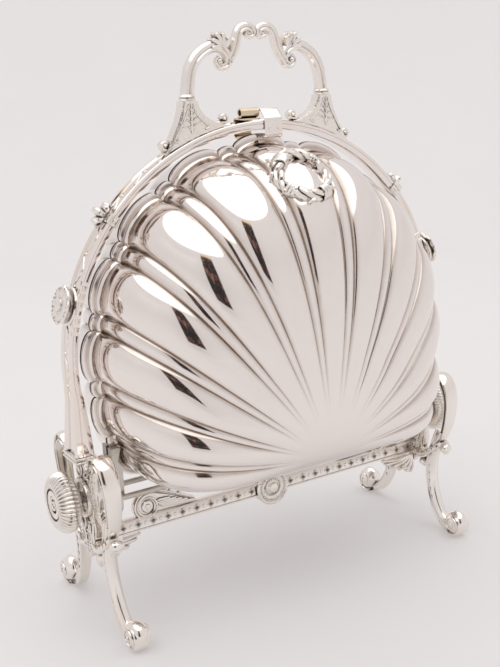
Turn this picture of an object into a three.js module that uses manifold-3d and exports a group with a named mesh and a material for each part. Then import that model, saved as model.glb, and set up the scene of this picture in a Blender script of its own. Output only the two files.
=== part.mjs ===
// A folding biscuit box in silver plate, in millimetres, +Z up. Its origin is on the floor, midway between
// the four feet. X runs along the hinges and -Y is the front. Two fluted shell halves hang in a hoop, and
// toothed plates at both ends make them open together.

import * as THREE from 'three';
import { mergeVertices } from 'three/addons/utils/BufferGeometryUtils.js';
import { ParametricGeometry } from 'three/addons/geometries/ParametricGeometry.js';
import Module from 'manifold-3d';

// Clearances
const gap = 0.3; // between pieces that touch
const runningGap = 0.35; // round a pin, on the radius
const overrun = 1; // how far a cutter passes the face that it cuts
const weld = 0.0005; // vertices nearer than this are one

// Shell halves
const shellRadius = 96.5; // at the creases, without the lip
const shellCentreZ = 129;
const shellLowZ = 67; // lowest line of the lip's inner edge
const shellTopShare = 1.03; // its height above the centre, of its radius
const shellDepth = 63; // of one half
const shellWall = 1.2;
const lipWidth = 2.5;
const lipThickness = 1.5;
const lobeSwell = 5;
const reedSwell = 1.9;
const umboZ = 76; // the flutes fan out from here
const lobeCount = 13;
const lobePitch = THREE.MathUtils.degToRad(14.5);
const reedShare = 0.24; // of one pitch
const roundPower = 2.5; // fullness of the dish above its centre
const floorPower = 4.6; // and below it
const squarePower = 5.5; // of the outline straight below the centre: it makes the lower corners
const plainUmboShare = 0.13; // the flutes start this far out
const fullFluteShare = 0.8; // and have their full height here
const lobeSteps = 4;
const reedSteps = 2;
const cornerSteps = 4; // columns round each lower corner
const floorSteps = 3;
const cornerEnd = THREE.MathUtils.degToRad(132); // fan angle past which the floor is nearly straight
const outerRows = 6;
const innerRows = 3;

// Hoop
const hoopRise = 2.2; // its centre lies this far above the shell's
const hoopCentreZ = shellCentreZ + hoopRise;
const hoopThickness = 4.6;
const hoopClearance = 2.9; // to the lip on the lobes at the sides
const hoopRadius = shellRadius + lobeSwell + lipWidth + hoopClearance + hoopThickness; // outer
const hoopDepth = 11; // along Y
const hoopFootZ = 90;
const hoopTurnIn = THREE.MathUtils.degToRad(8); // how far the round part goes below its centre
const hoopChannelDepth = 0.8;
const hoopChannelWidth = 7;
const hoopSteps = 32;
const hoopFlareTopZ = 124; // its feet widen from here down
const hoopFlareDepth = 16.4; // along Y, at the foot
const hoopFlareIn = 2.8; // towards the shell, at the foot
const hoopFlareOut = 2.6;

// Handle, its sockets and the small ornaments on the hoop
const handleStandOff = 11.3; // height of its feet above the hoop's top
const handleFootZ = hoopCentreZ + hoopRadius + handleStandOff;
const handleHeight = 36;
const handleHalfSpan = 39.5; // from the middle to a foot
const handleRodRadius = 3.1;
const handleNeckRadius = 2.2;
const handleLeafRadius = 1.9;
const handleDepthShare = 1.1; // its section is deeper along Y than it is wide
const handleTipShare = 0.5; // thickness of a tip, of the thickness at its root
const neckTipShare = 0.6;
const collarRadius = 4.4;
const collarHeight = 2.4;
const socketDepth = 7.6;
const socketOuterReach = 14.5; // from the handle's foot to the socket's outer end
const socketInnerReach = 20;
const socketReliefDepth = 0.7;
const socketBallRadius = 2.6;
const earAngle = THREE.MathUtils.degToRad(39.7); // above the horizontal, at the hoop's centre
const earHeight = 6.5;
const earWidth = 13;
const earDepth = 7;
const earTopLobeShare = 0.2; // radius of its lobes, of its width
const earSideLobeShare = 0.167;
const earStrapWidth = 5;
const earStrapThickness = 0.9;
const rosetteAngle = THREE.MathUtils.degToRad(16.4);
const rosetteRadius = 9.5;
const rosetteThickness = 2.2;
const rosetteStandOff = 3.2;
const rosetteStemRadius = 2.6;
const rosettePetals = 8;
const ribCount = 5;
const ribWidth = 2.2;
const ribPitch = 4;
const ribHeight = 0.6;

// Hinge
const pivotZ = 64;
const pivotY = 8; // also the pitch radius of the teeth
const rodRadius = 1.5;
const teeth = 16;
const toothBacklash = 0.3;
const toothTop = 0.75; // above the pitch circle
const toothRoot = 1.1; // below it
const sectorThickness = 4;
const sectorHubRadius = 3.4;
const strapInnerReach = 8.8; // from the outer face of the toothed plate inwards to the strap's inner side
const strapOuterReach = 3.6;
const strapTopShare = 0.36; // of the way from the shell's lowest line to its centre, before it is cut
const strapTopZ = THREE.MathUtils.lerp(shellLowZ, shellCentreZ, strapTopShare);
const strapThickness = 4.6; // along Y
const strapFootTop = 75;

// End frames
const endPlateSetIn = 4.95; // its middle lies this far inside the hoop's outer edge
const endX = hoopRadius * Math.cos(hoopTurnIn) - endPlateSetIn; // middle of an end plate and its legs
const sectorSetIn = 12; // from the end plate's middle to the toothed plate's inner face
const sectorInnerX = endX - sectorSetIn;
const endPlateThickness = 4;
const endPlateHalfWidth = 9.4;
const endPlateTopZ = 86;
const endPlateTipZ = 33;
const capHeight = 3.4;
const capOverhang = 0.5;
const bossZ = 66;
const bossRadius = 10;
const bossHeight = 1.8;
const bossRim = 2.2;
const bossFloorShare = 0.25; // height of the floor inside the rim
const eyeRadius = 1.6;
const eyeZ = 50.5;
const eyePitch = 6;
const legWidth = 7.4; // along X
const legBandThickness = 3.8;
const legShankThickness = 4.8;
const legTopZ = 92;
const legBulgeY = 31;
const legCollarZ = 50;
const footY = 41;
const footRadius = 8.5;
const footWidth = 9;
const footEyeRadius = 2.2;
const footWebShare = 0.72; // its web's thickness, of its width
const footWebRadiusShare = 0.96;
const footRollStart = THREE.MathUtils.degToRad(-112); // where its roll leaves the shank
const legLean = 0.045; // inwards, for each unit of the way down
const legLeanZ = 75; // the lean starts here
const footFlat = 0.35; // taken off under the foot, so that it stands flat
const collarBallRadius = 2.5;
const snailRadius = 16.2;
const snailTubeRadius = 8.6; // of its rounded side, outwards
const snailHalfDepth = 5.8;
const snailRibs = 15;
const snailRibHeight = 0.5;
const snailStemRadius = 3;
const snailStandOff = 3.4;
const snailTurns = 1.6;

// Bar between the end frames
const barZ = 44;
const barHeight = 7.7;
const barThickness = 5;
const barFillet = 1.3;
const barSink = 0.7; // the face lies this far behind the fillets
const scrollSetIn = 30.5;
const scrollX = endX - scrollSetIn;
const scrollZ = 52.4;
const scrollRadius = 8.6;
const scrollBand = 2.6;
const scrollThickness = 4.4;
const scrollTailSetIn = 61.5;
const scrollTailX = endX - scrollTailSetIn;
const leafReach = 24;
const leafDrop = 13;
const leafThickness = 3.2;
const medallionRadius = 10;
const medallionThickness = 2.4;

// Wreath and catches
const wreathZShare = 0.865; // its height, of the shell's radius
const wreathZ = shellCentreZ + shellRadius * wreathZShare;
const wreathRadius = 12.8;
const wreathTubeRadius = 3.1;
const wreathTubeSides = 6;
const wreathWrapRadius = 3.8;
const wreathWraps = 4;
const wreathLiftShare = 0.75; // the rest of its tube is cut to the shell
const catchWidth = 10.4;
const catchThickness = 0.9;
const catchFootDrop = 7;
const catchReachY = 3; // how far the rear strap reaches over the hoop, past its middle
const catchRollRadius = 2.4;
const catchRollRise = 0.2; // of the roll above its strap
const catchPlateLean = 4.6; // of the front plate, backwards
const catchPlateRise = 5;

// Pierced flaps
const flapThickness = 1;
const flapY = 4; // middle, behind the lip's face
const flapInset = 1.5;
const flapLowZ = 77.5;
const flapPinZ = 71;
const flapPinRadius = 0.9;
const flapBarrelRadius = 2;
const flapPinShare = 0.456; // its half length, of the shell's radius
const flapPinHalfLength = shellRadius * flapPinShare;
const flapLugWidth = 4;
const flapLugPlay = 0.4;
const flapSlotRows = 2;
const flapSlotShare = 0.34; // of a lobe's width there

// Materials

const silver = (colour, roughness) =>
  new THREE.MeshStandardMaterial({ color: colour, roughness, metalness: 1 });
const polished = silver(0xdcd6d1, 0.12);
const cast = silver(0xcfc8c2, 0.24);
const gilt = silver(0xd9c08c, 0.28);
const steel = silver(0x9a9792, 0.35);

// Solids: every helper gives a closed geometry that only has positions

const wasm = await Module();
wasm.setup();

function closed(geometry) {
  const bare = new THREE.BufferGeometry();
  bare.setAttribute('position', geometry.getAttribute('position').clone());
  if (geometry.index) bare.setIndex(geometry.index.clone());
  const merged = mergeVertices(bare, weld);
  const position = merged.getAttribute('position');
  const kept = [];
  let volume = 0;
  const a = new THREE.Vector3();
  const b = new THREE.Vector3();
  const c = new THREE.Vector3();
  for (let i = 0; i < merged.index.count; i += 3) {
    const [p, q, r] = [0, 1, 2].map((k) => merged.index.getX(i + k));
    if (p === q || q === r || r === p) continue;
    kept.push([p, q, r]);
    a.fromBufferAttribute(position, p);
    b.fromBufferAttribute(position, q);
    c.fromBufferAttribute(position, r);
    volume += a.dot(b.cross(c));
  }
  merged.setIndex(kept.flatMap(([p, q, r]) => (volume > 0 ? [p, q, r] : [p, r, q])));
  return merged;
}

function toSolid(geometry) {
  const shape = closed(geometry);
  return new wasm.Manifold(
    new wasm.Mesh({
      numProp: 3,
      vertProperties: new Float32Array(shape.getAttribute('position').array),
      triVerts: new Uint32Array(shape.index.array),
    })
  );
}

function fromSolid(solid) {
  const mesh = solid.getMesh();
  const geometry = new THREE.BufferGeometry();
  geometry.setAttribute('position', new THREE.BufferAttribute(new Float32Array(mesh.vertProperties), 3));
  geometry.setIndex(Array.from(mesh.triVerts));
  return geometry;
}

const join = (...pieces) => fromSolid(pieces.map(toSolid).reduce((sum, next) => sum.add(next)));
const cut = (body, ...tools) =>
  fromSolid(tools.map(toSolid).reduce((rest, next) => rest.subtract(next), toSolid(body)));

// Turns a shape drawn in X and Z into a plate of that thickness along Y, centred on Y = 0
function plateXZ(shape, thickness, curveSteps = 8) {
  const geometry = new THREE.ExtrudeGeometry(shape, {
    depth: thickness,
    bevelEnabled: false,
    curveSegments: curveSteps,
  });
  return geometry.translate(0, 0, -thickness / 2).rotateX(Math.PI / 2);
}

// Turns a shape drawn in Y and Z into a plate of that thickness along X, centred on X = 0
function plateYZ(shape, thickness, curveSteps = 8) {
  return plateXZ(shape, thickness, curveSteps).rotateZ(Math.PI / 2);
}

function block(x0, x1, y0, y1, z0, z1) {
  const box = new THREE.BoxGeometry(x1 - x0, y1 - y0, z1 - z0);
  return box.translate((x0 + x1) / 2, (y0 + y1) / 2, (z0 + z1) / 2);
}

function rodX(radius, x0, x1, y, z, sides = 16) {
  const rod = new THREE.CylinderGeometry(radius, radius, x1 - x0, sides);
  return rod.rotateZ(Math.PI / 2).translate((x0 + x1) / 2, y, z);
}

// A profile of [radius, height] pairs, turned about X and facing +X
function turnedX(profile, sides) {
  const points = profile.map(([radius, height]) => new THREE.Vector2(radius, height));
  return new THREE.LatheGeometry(points, sides).rotateZ(-Math.PI / 2);
}

const polygon = (points) => new THREE.Shape(points.map(([x, y]) => new THREE.Vector2(x, y)));
const arcPoints = (radius, start, end, steps, x = 0, y = 0) =>
  Array.from({ length: steps + 1 }, (_, i) => {
    const angle = start + ((end - start) * i) / steps;
    return [x + radius * Math.cos(angle), y + radius * Math.sin(angle)];
  });

// A tube whose middle line stays in the XZ plane, round or flattened, that closes to a point at each end
function flatCurveTube(points, radiusAt, depthShare, steps, sides) {
  const curve = new THREE.CatmullRomCurve3(points.map(([x, z]) => new THREE.Vector3(x, 0, z)));
  const rows = steps + 2;
  const surface = (u, v, target) => {
    const row = Math.round(v * rows);
    const t = Math.min(Math.max((row - 1) / steps, 0), 1);
    const radius = row === 0 || row === rows ? 0 : radiusAt(t);
    const at = curve.getPointAt(t);
    const along = curve.getTangentAt(t);
    const turn = u * Math.PI * 2;
    target.set(
      at.x - along.z * radius * Math.cos(turn),
      radius * depthShare * Math.sin(turn),
      at.z + along.x * radius * Math.cos(turn)
    );
  };
  return closed(new ParametricGeometry(surface, sides, rows));
}

// A ribbon of changing thickness along a smooth line, as a shape
function ribbonShape(points, thicknessAt, steps) {
  const curve = new THREE.CatmullRomCurve3(points.map(([x, y]) => new THREE.Vector3(x, y, 0)));
  const sides = [[], []];
  for (let i = 0; i <= steps; i++) {
    const at = curve.getPointAt(i / steps);
    const along = curve.getTangentAt(i / steps);
    const half = thicknessAt(i / steps) / 2;
    sides[0].push([at.x - along.y * half, at.y + along.x * half]);
    sides[1].push([at.x + along.y * half, at.y - along.x * half]);
  }
  return polygon([...sides[0], ...sides[1].reverse()]);
}

// A spiral band that winds inwards from the outer radius, as a shape round 0,0
function spiralShape(radius, innerShare, band, turns, start, sense, stepsPerTurn = 14) {
  const steps = Math.round(turns * stepsPerTurn);
  const outer = [];
  const inner = [];
  for (let i = 0; i <= steps; i++) {
    const share = i / steps;
    const far = radius * (1 - (1 - innerShare) * share);
    const near = far - band * (1 - share * innerShare);
    const angle = start + sense * share * turns * Math.PI * 2;
    outer.push([far * Math.cos(angle), far * Math.sin(angle)]);
    inner.push([near * Math.cos(angle), near * Math.sin(angle)]);
  }
  return polygon([...outer, ...inner.reverse()]);
}

const mirrored = (geometry) => closed(geometry.clone().scale(-1, 1, 1));
const mirroredY = (geometry) => closed(geometry.clone().scale(1, -1, 1));

const biscuitBox = new THREE.Group();

function add(name, geometry, material) {
  const mesh = new THREE.Mesh(closed(geometry), material.clone());
  mesh.name = name;
  biscuitBox.add(mesh);
}

function addBothEnds(name, geometry, material) {
  add(`${name}_right`, geometry, material);
  add(`${name}_left`, mirrored(geometry), material);
}

// Hoop

function hoopOutline(grow, shrink, footZ) {
  const outer = arcPoints(hoopRadius + grow, -hoopTurnIn, Math.PI + hoopTurnIn, hoopSteps, 0, hoopCentreZ);
  const innerRadius = hoopRadius - hoopThickness + shrink;
  const inner = arcPoints(innerRadius, Math.PI + hoopTurnIn, -hoopTurnIn, hoopSteps, 0, hoopCentreZ);
  const [outerFoot, innerFoot] = [outer[0][0], inner[inner.length - 1][0]];
  return polygon([
    [outerFoot, footZ],
    ...outer,
    [-outerFoot, footZ],
    [-innerFoot, footZ],
    ...inner,
    [innerFoot, footZ],
  ]);
}

const hoopFootOuterX = hoopRadius * Math.cos(hoopTurnIn) + hoopFlareOut;
const hoopFootInnerX = (hoopRadius - hoopThickness) * Math.cos(hoopTurnIn) - hoopFlareIn;

// A foot of the hoop: it gets wider and deeper towards the end plate that it stands on
function makeHoopFoot() {
  const foot = new THREE.BoxGeometry(1, 1, 1);
  const position = foot.getAttribute('position');
  const [topInner, topOuter] = [hoopRadius - hoopThickness + gap, hoopRadius - gap];
  for (let i = 0; i < position.count; i++) {
    const [outside, top] = [position.getX(i) > 0, position.getZ(i) > 0];
    const bottomX = outside ? hoopFootOuterX : hoopFootInnerX;
    const x = top ? (outside ? topOuter : topInner) : bottomX;
    const y = position.getY(i) * (top ? hoopDepth : hoopFlareDepth);
    position.setXYZ(i, x, y, top ? hoopFlareTopZ : hoopFootZ);
  }
  return foot;
}

function makeHoop() {
  const hoop = plateXZ(hoopOutline(0, 0, hoopFootZ), hoopDepth);
  const channelShape = hoopOutline(overrun, hoopThickness - hoopChannelDepth, hoopFootZ - overrun);
  const channel = plateXZ(channelShape, hoopChannelWidth);
  const middle = hoopRadius - hoopThickness / 2;
  const ribs = [];
  for (const side of [0, 1]) {
    for (let i = 0; i < ribCount; i++) {
      const offset = ((i - (ribCount - 1) / 2) * ribPitch) / middle;
      const rib = new THREE.BoxGeometry(hoopThickness - gap, hoopDepth + 2 * ribHeight, ribWidth);
      rib.translate(middle, 0, 0).rotateY(-(rosetteAngle + offset)).translate(0, 0, hoopCentreZ);
      ribs.push(side ? mirrored(rib) : rib);
    }
  }
  const foot = makeHoopFoot();
  return join(cut(hoop, channel), foot, mirrored(foot), ...ribs.map((rib) => cut(rib, channel)));
}

add('arch_bow', makeHoop(), polished);

// Handle: two arms, each a shank that rises and curls in, with a leaf on its shoulder and a neck that goes
// up to the small curl beside the middle. Places are shares of the half span and of the height.

const armShares = [
  [1, 0.04], [0.985, 0.19], [0.95, 0.375], [0.875, 0.52], [0.76, 0.625], [0.62, 0.685],
  [0.495, 0.655], [0.41, 0.555], [0.43, 0.445], [0.52, 0.42], [0.57, 0.49],
];
const neckShares = [
  [0.405, 0.51], [0.345, 0.6], [0.295, 0.71], [0.27, 0.83], [0.222, 0.925],
  [0.137, 0.953], [0.06, 0.925], [0.03, 0.86], [0.08, 0.8], [0.15, 0.825],
];
const bridgeShare = 0.07; // the small curls are joined by a bridge this long
const bridgeHeightShare = 0.87;
const leafShares = [[0.5, 0.65], [0.495, 0.74], [0.515, 0.82], [0.58, 0.855]];
const onHandle = (shares) => shares.map(([x, z]) => [x * handleHalfSpan, handleFootZ + z * handleHeight]);

function makeHandle() {
  const taper = (from, to) => (t) => THREE.MathUtils.lerp(from, to, t * t);
  const shank = flatCurveTube(
    onHandle(armShares),
    taper(handleRodRadius, handleRodRadius * handleTipShare),
    handleDepthShare,
    20,
    7
  );
  const neck = flatCurveTube(
    onHandle(neckShares),
    taper(handleNeckRadius, handleNeckRadius * neckTipShare),
    handleDepthShare,
    15,
    6
  );
  const leaf = flatCurveTube(onHandle(leafShares), taper(handleLeafRadius, handleLeafRadius / 3), 1, 4, 6);
  const collar = new THREE.CylinderGeometry(collarRadius, collarRadius * 0.9, collarHeight, 10);
  collar.rotateX(Math.PI / 2).translate(handleHalfSpan, 0, handleFootZ + collarHeight / 2);
  const bridgeHalf = handleHalfSpan * bridgeShare;
  const bridgeZ = handleFootZ + handleHeight * bridgeHeightShare;
  const bridge = rodX(handleNeckRadius * neckTipShare, 0, bridgeHalf, 0, bridgeZ, 8);
  const arm = join(shank, neck, leaf, collar, bridge);
  return join(arm, mirrored(arm));
}

add('carrying_handle', makeHandle(), cast);

// Sockets: leafy triangles whose base follows the hoop, with a ball at each end

const socketTopHalfWidth = collarRadius;
const socketTopZ = handleFootZ - gap;
const socketOuterX = handleHalfSpan + socketOuterReach;
const socketInnerX = handleHalfSpan - socketInnerReach;
const onHoop = (x, above) => {
  const radius = hoopRadius + above;
  return [x, hoopCentreZ + Math.sqrt(radius * radius - x * x)];
};

function makeSocket() {
  const baseSteps = 8;
  const base = Array.from({ length: baseSteps + 1 }, (_, i) =>
    onHoop(THREE.MathUtils.lerp(socketOuterX, socketInnerX, i / baseSteps), gap)
  );
  const flank = (x, aboveShare, foot) => {
    const [, low] = onHoop(x, gap);
    return [x, THREE.MathUtils.lerp(low + foot, socketTopZ, aboveShare)];
  };
  const rim = socketBallRadius;
  const outline = [
    ...base,
    flank(socketInnerX, 0, rim),
    flank(THREE.MathUtils.lerp(socketInnerX, handleHalfSpan, 0.38), 0.12, rim),
    flank(handleHalfSpan - socketTopHalfWidth * 1.25, 0.5, rim),
    [handleHalfSpan - socketTopHalfWidth, socketTopZ],
    [handleHalfSpan + socketTopHalfWidth, socketTopZ],
    flank(handleHalfSpan + socketTopHalfWidth * 1.15, 0.5, rim),
    flank(THREE.MathUtils.lerp(socketOuterX, handleHalfSpan, 0.5), 0.12, rim),
    flank(socketOuterX, 0, rim),
  ];
  const body = plateXZ(polygon(outline), socketDepth);
  const inset = (point) => [
    THREE.MathUtils.lerp(handleHalfSpan, point[0], 0.7),
    THREE.MathUtils.lerp(socketTopZ, point[1], 0.86) - socketTopHalfWidth * 0.25,
  ];
  const shieldDepth = socketDepth + 2 * socketReliefDepth;
  const shield = plateXZ(polygon(outline.slice(baseSteps + 2).map(inset)), shieldDepth);
  const ball = (x) => {
    const [, z] = onHoop(x, gap + socketBallRadius * 1.4);
    return new THREE.SphereGeometry(socketBallRadius, 8, 5).rotateX(Math.PI / 2).translate(x, 0, z);
  };
  return join(body, shield, ball(socketOuterX - rim / 2), ball(socketInnerX + rim / 2));
}

addBothEnds('handle_socket', makeSocket(), cast);

// Small pieces on the hoop are made with the hoop's surface at height 0 and then turned to their angle

function onHoopAt(geometry, angle) {
  return geometry
    .translate(0, 0, hoopRadius)
    .rotateY(Math.PI / 2 - angle)
    .translate(0, 0, hoopCentreZ);
}

function makeEar() {
  const lobes = [-1, 0, 1].map((side) => {
    const radius = earWidth * (side ? earSideLobeShare : earTopLobeShare);
    const lobe = new THREE.CylinderGeometry(radius, radius, earDepth, 10);
    const rise = side ? earHeight * 0.42 : earHeight - radius;
    return lobe.translate((side * earWidth) / 3, 0, rise);
  });
  const stalk = block(-earWidth / 4, earWidth / 4, -earDepth / 2, earDepth / 2, gap, earHeight * 0.6);
  const base = block(-earWidth / 2, earWidth / 2, -earDepth / 2, earDepth / 2, gap, earHeight * 0.3);
  const halfStrap = earStrapWidth / 2;
  const outerY = hoopDepth / 2 + gap + earStrapThickness;
  const strap = block(-halfStrap, halfStrap, -outerY, outerY, -hoopThickness - gap, gap + earStrapThickness);
  const innerY = hoopDepth / 2 + gap;
  const room = block(-earWidth, earWidth, -innerY, innerY, -hoopThickness - overrun, gap);
  return cut(join(...lobes, stalk, base, strap), room);
}

addBothEnds('arch_ear', onHoopAt(makeEar(), earAngle), cast);

function makeRosette() {
  const flangeThickness = rosetteStandOff * 0.35;
  const base = turnedX(
    [
      [0, gap],
      [rosetteRadius, gap],
      [rosetteRadius, gap + flangeThickness],
      [rosetteRadius * 0.85, gap + flangeThickness * 1.4],
      [rosetteStemRadius, gap + flangeThickness * 0.8],
      [rosetteStemRadius, gap + rosetteStandOff + flangeThickness],
      [0, gap + rosetteStandOff + flangeThickness],
    ],
    16
  );
  const petalSteps = 3;
  const outline = Array.from({ length: rosettePetals * petalSteps }, (_, i) => {
    const swell = Math.abs(Math.sin((i / petalSteps) * Math.PI));
    const radius = rosetteRadius * (0.9 + 0.1 * swell);
    const angle = (i / petalSteps / rosettePetals) * Math.PI * 2;
    return [radius * Math.cos(angle), radius * Math.sin(angle)];
  });
  const faceX = gap + rosetteStandOff;
  const disc = plateYZ(polygon(outline), rosetteThickness).translate(faceX + rosetteThickness / 2, 0, 0);
  const bead = turnedX(
    [
      [0, 0],
      [rosetteStemRadius * 1.3, 0],
      [rosetteStemRadius, rosetteThickness * 0.6],
      [0, rosetteThickness * 0.8],
    ],
    8
  ).translate(faceX + rosetteThickness - gap, 0, 0);
  return join(base, disc, bead).rotateY(-Math.PI / 2);
}

addBothEnds('rosette', onHoopAt(makeRosette(), rosetteAngle), cast);

// Shell: a full dish over a round outline that gets squarer below its centre. The flutes fan out from the
// umbo: wide swelling lobes with a narrow reed in each crease between them.

const lowHeight = shellCentreZ - shellLowZ;

// 1 on the dish's outline, 0 at its centre
function dishShare(x, z) {
  const up = z - shellCentreZ;
  const across = Math.abs(x) / shellRadius;
  if (up >= 0) return Math.hypot(across, up / (shellRadius * shellTopShare));
  const power = 2 + (squarePower - 2) * lowerness(x, up);
  return Math.pow(Math.pow(across, power) + Math.pow(-up / lowHeight, power), 1 / power);
}

// 0 level with the centre and above, 1 straight below it
function lowerness(x, up) {
  const length = Math.hypot(x, up);
  return length > 0 ? THREE.MathUtils.smoothstep(-up / length, 0, 1) : 0;
}

function dishDepth(x, z) {
  const power = roundPower + (floorPower - roundPower) * lowerness(x, z - shellCentreZ);
  const left = Math.max(1 - Math.pow(dishShare(x, z), power), 0);
  return (shellDepth - lipThickness) * Math.pow(left, 1 / power);
}

// Distance from the umbo to the dish's outline; the angle is measured from straight up
function rimDistance(angle) {
  let near = 0;
  let far = 2 * shellRadius;
  for (let i = 0; i < 40; i++) {
    const middle = (near + far) / 2;
    const inside = dishShare(middle * Math.sin(angle), umboZ + middle * Math.cos(angle)) < 1;
    if (inside) near = middle;
    else far = middle;
  }
  return near;
}

// Swell of the flutes above the creases at a fan angle, at full height
const fanHalf = (lobeCount * lobePitch) / 2;

function fluteSwell(angle) {
  const turned = Math.abs(angle);
  if (turned > fanHalf) return lobeSwell * 0.2;
  const fromLobe = Math.abs(turned / lobePitch - Math.round(turned / lobePitch)) * 2;
  const lobeEdge = 1 - reedShare;
  if (fromLobe <= lobeEdge) return lobeSwell * Math.sqrt(1 - Math.pow(fromLobe / lobeEdge, 2));
  return reedSwell * Math.sqrt(1 - Math.pow((1 - fromLobe) / reedShare, 2));
}

// A point of the shell's outer face at a fan angle and a share of the way from the umbo to the rim
function dishPoint(angle, share) {
  const distance = share * rimDistance(angle);
  const x = distance * Math.sin(angle);
  const z = umboZ + distance * Math.cos(angle);
  const rise = THREE.MathUtils.smoothstep(share, plainUmboShare, fullFluteShare);
  const grow = 1 + (fluteSwell(angle) * rise) / shellRadius;
  return new THREE.Vector3(x * grow, -dishDepth(x, z) * grow, shellCentreZ + (z - shellCentreZ) * grow);
}

// The fan angles of the shell's columns, each lobe and each reed split evenly, then the plain lower part
function columnAngles() {
  const angles = [];
  const split = (start, end, steps) => {
    for (let i = 0; i < steps; i++) angles.push(start + ((end - start) * i) / steps);
  };
  const halfLobe = (lobePitch * (1 - reedShare)) / 2;
  for (let i = 0; i < lobeCount; i++) {
    const middle = (i - (lobeCount - 1) / 2) * lobePitch;
    split(middle - halfLobe, middle + halfLobe, lobeSteps);
    if (i < lobeCount - 1) split(middle + halfLobe, middle + lobePitch - halfLobe, reedSteps);
  }
  const lastCrease = fanHalf - lobePitch / 2 + halfLobe;
  split(lastCrease, cornerEnd, cornerSteps);
  split(cornerEnd, 2 * Math.PI - cornerEnd, floorSteps);
  split(2 * Math.PI - cornerEnd, 2 * Math.PI - lastCrease, cornerSteps);
  return angles;
}

// Points outside the dish's outline, in its plane: the lip
function lipPoint(angle, y, width) {
  const rim = dishPoint(angle, 1);
  const outward = new THREE.Vector3(rim.x, 0, rim.z - shellCentreZ).normalize();
  const low = outward.z < 0 ? 1 - 0.6 * lowerness(rim.x, rim.z - shellCentreZ) : 1;
  return rim.addScaledVector(outward, width * low).setY(y);
}

// One half's skin: out over the dish, round the lip, and back along the inside. With no wall it is filled.
function makeDish(wall) {
  const angles = columnAngles();
  const columns = angles.length;
  const front = -(gap / 2 + lipThickness);
  const back = -gap / 2;
  const inside = 1 - wall / shellDepth;
  const rows = [];
  const shareAt = (i, count) => Math.sin((i / count) * Math.PI / 2);
  for (let i = 0; i <= outerRows; i++) {
    rows.push((angle) => {
      const point = dishPoint(angle, shareAt(i, outerRows));
      return point.setY(point.y + front);
    });
  }
  rows.push((angle) => lipPoint(angle, front, lipWidth));
  rows.push((angle) => lipPoint(angle, back, lipWidth));
  if (wall > 0) {
    const inner = (angle, share) => {
      const point = dishPoint(angle, share);
      const z = THREE.MathUtils.lerp(shellCentreZ, point.z, inside);
      return point.set(point.x * inside, point.y * inside, z);
    };
    rows.push((angle) => inner(angle, 1).setY(back));
    for (let i = innerRows; i >= 0; i--) {
      rows.push((angle) => {
        const point = inner(angle, shareAt(i, innerRows));
        return point.setY(point.y + front);
      });
    }
  } else {
    rows.push(() => new THREE.Vector3(0, back, shellCentreZ));
  }
  const surface = (u, v, target) => {
    const column = Math.round(u * columns) % columns;
    target.copy(rows[Math.round(v * (rows.length - 1))](angles[column]));
  };
  return closed(new ParametricGeometry(surface, columns, rows.length - 1));
}

// Lugs inside the shell's floor carry the flap's pin
function makeLug(x) {
  const half = flapLugWidth / 2;
  const top = flapPinZ + flapPinRadius + runningGap + shellWall;
  const backY = -gap / 2 - lipThickness * 0.3;
  const frontY = -(flapY + flapPinRadius + runningGap + shellWall);
  const lug = block(x - half, x + half, frontY, backY, shellLowZ + shellWall * 0.6, top);
  const bore = rodX(flapPinRadius + runningGap, x - half - overrun, x + half + overrun, -flapY, flapPinZ, 12);
  return cut(lug, bore);
}

const solidDish = makeDish(0);

// The room that the front shell takes with a gap all round, as two cutters
function shellRoom() {
  const fitShare = 1 + gap / lowHeight;
  return [-gap, gap].map((shift) =>
    solidDish
      .clone()
      .translate(0, shift, -shellCentreZ)
      .scale(fitShare, fitShare, fitShare)
      .translate(0, 0, shellCentreZ)
  );
}

function makeShell() {
  const skin = makeDish(shellWall);
  const lugX = flapPinHalfLength - flapLugWidth / 2;
  return join(skin, makeLug(lugX), makeLug(-lugX));
}

const frontShell = makeShell();
add('front_shell', frontShell, polished);
add('rear_shell', mirroredY(frontShell), polished);

// Toothed hinge plates: involute teeth over the quarter that meshes, a hub, and a strap that rises to the
// lowest lobe and is cut to fit the shell

const toothModule = (2 * pivotY) / teeth;
const pressureAngle = THREE.MathUtils.degToRad(20);
const toothSpread = Math.PI / 2; // the teeth that mesh while the box opens
const spareTeeth = 1;

// Half the angle that a tooth takes at a radius
function toothHalfAngle(radius) {
  const involute = (angle) => Math.tan(angle) - angle;
  const base = pivotY * Math.cos(pressureAngle);
  const here = radius > base ? Math.acos(base / radius) : 0;
  const atPitch = (Math.PI * toothModule / 2 - toothBacklash) / 2 / pivotY;
  return atPitch + involute(pressureAngle) - involute(here);
}

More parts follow.
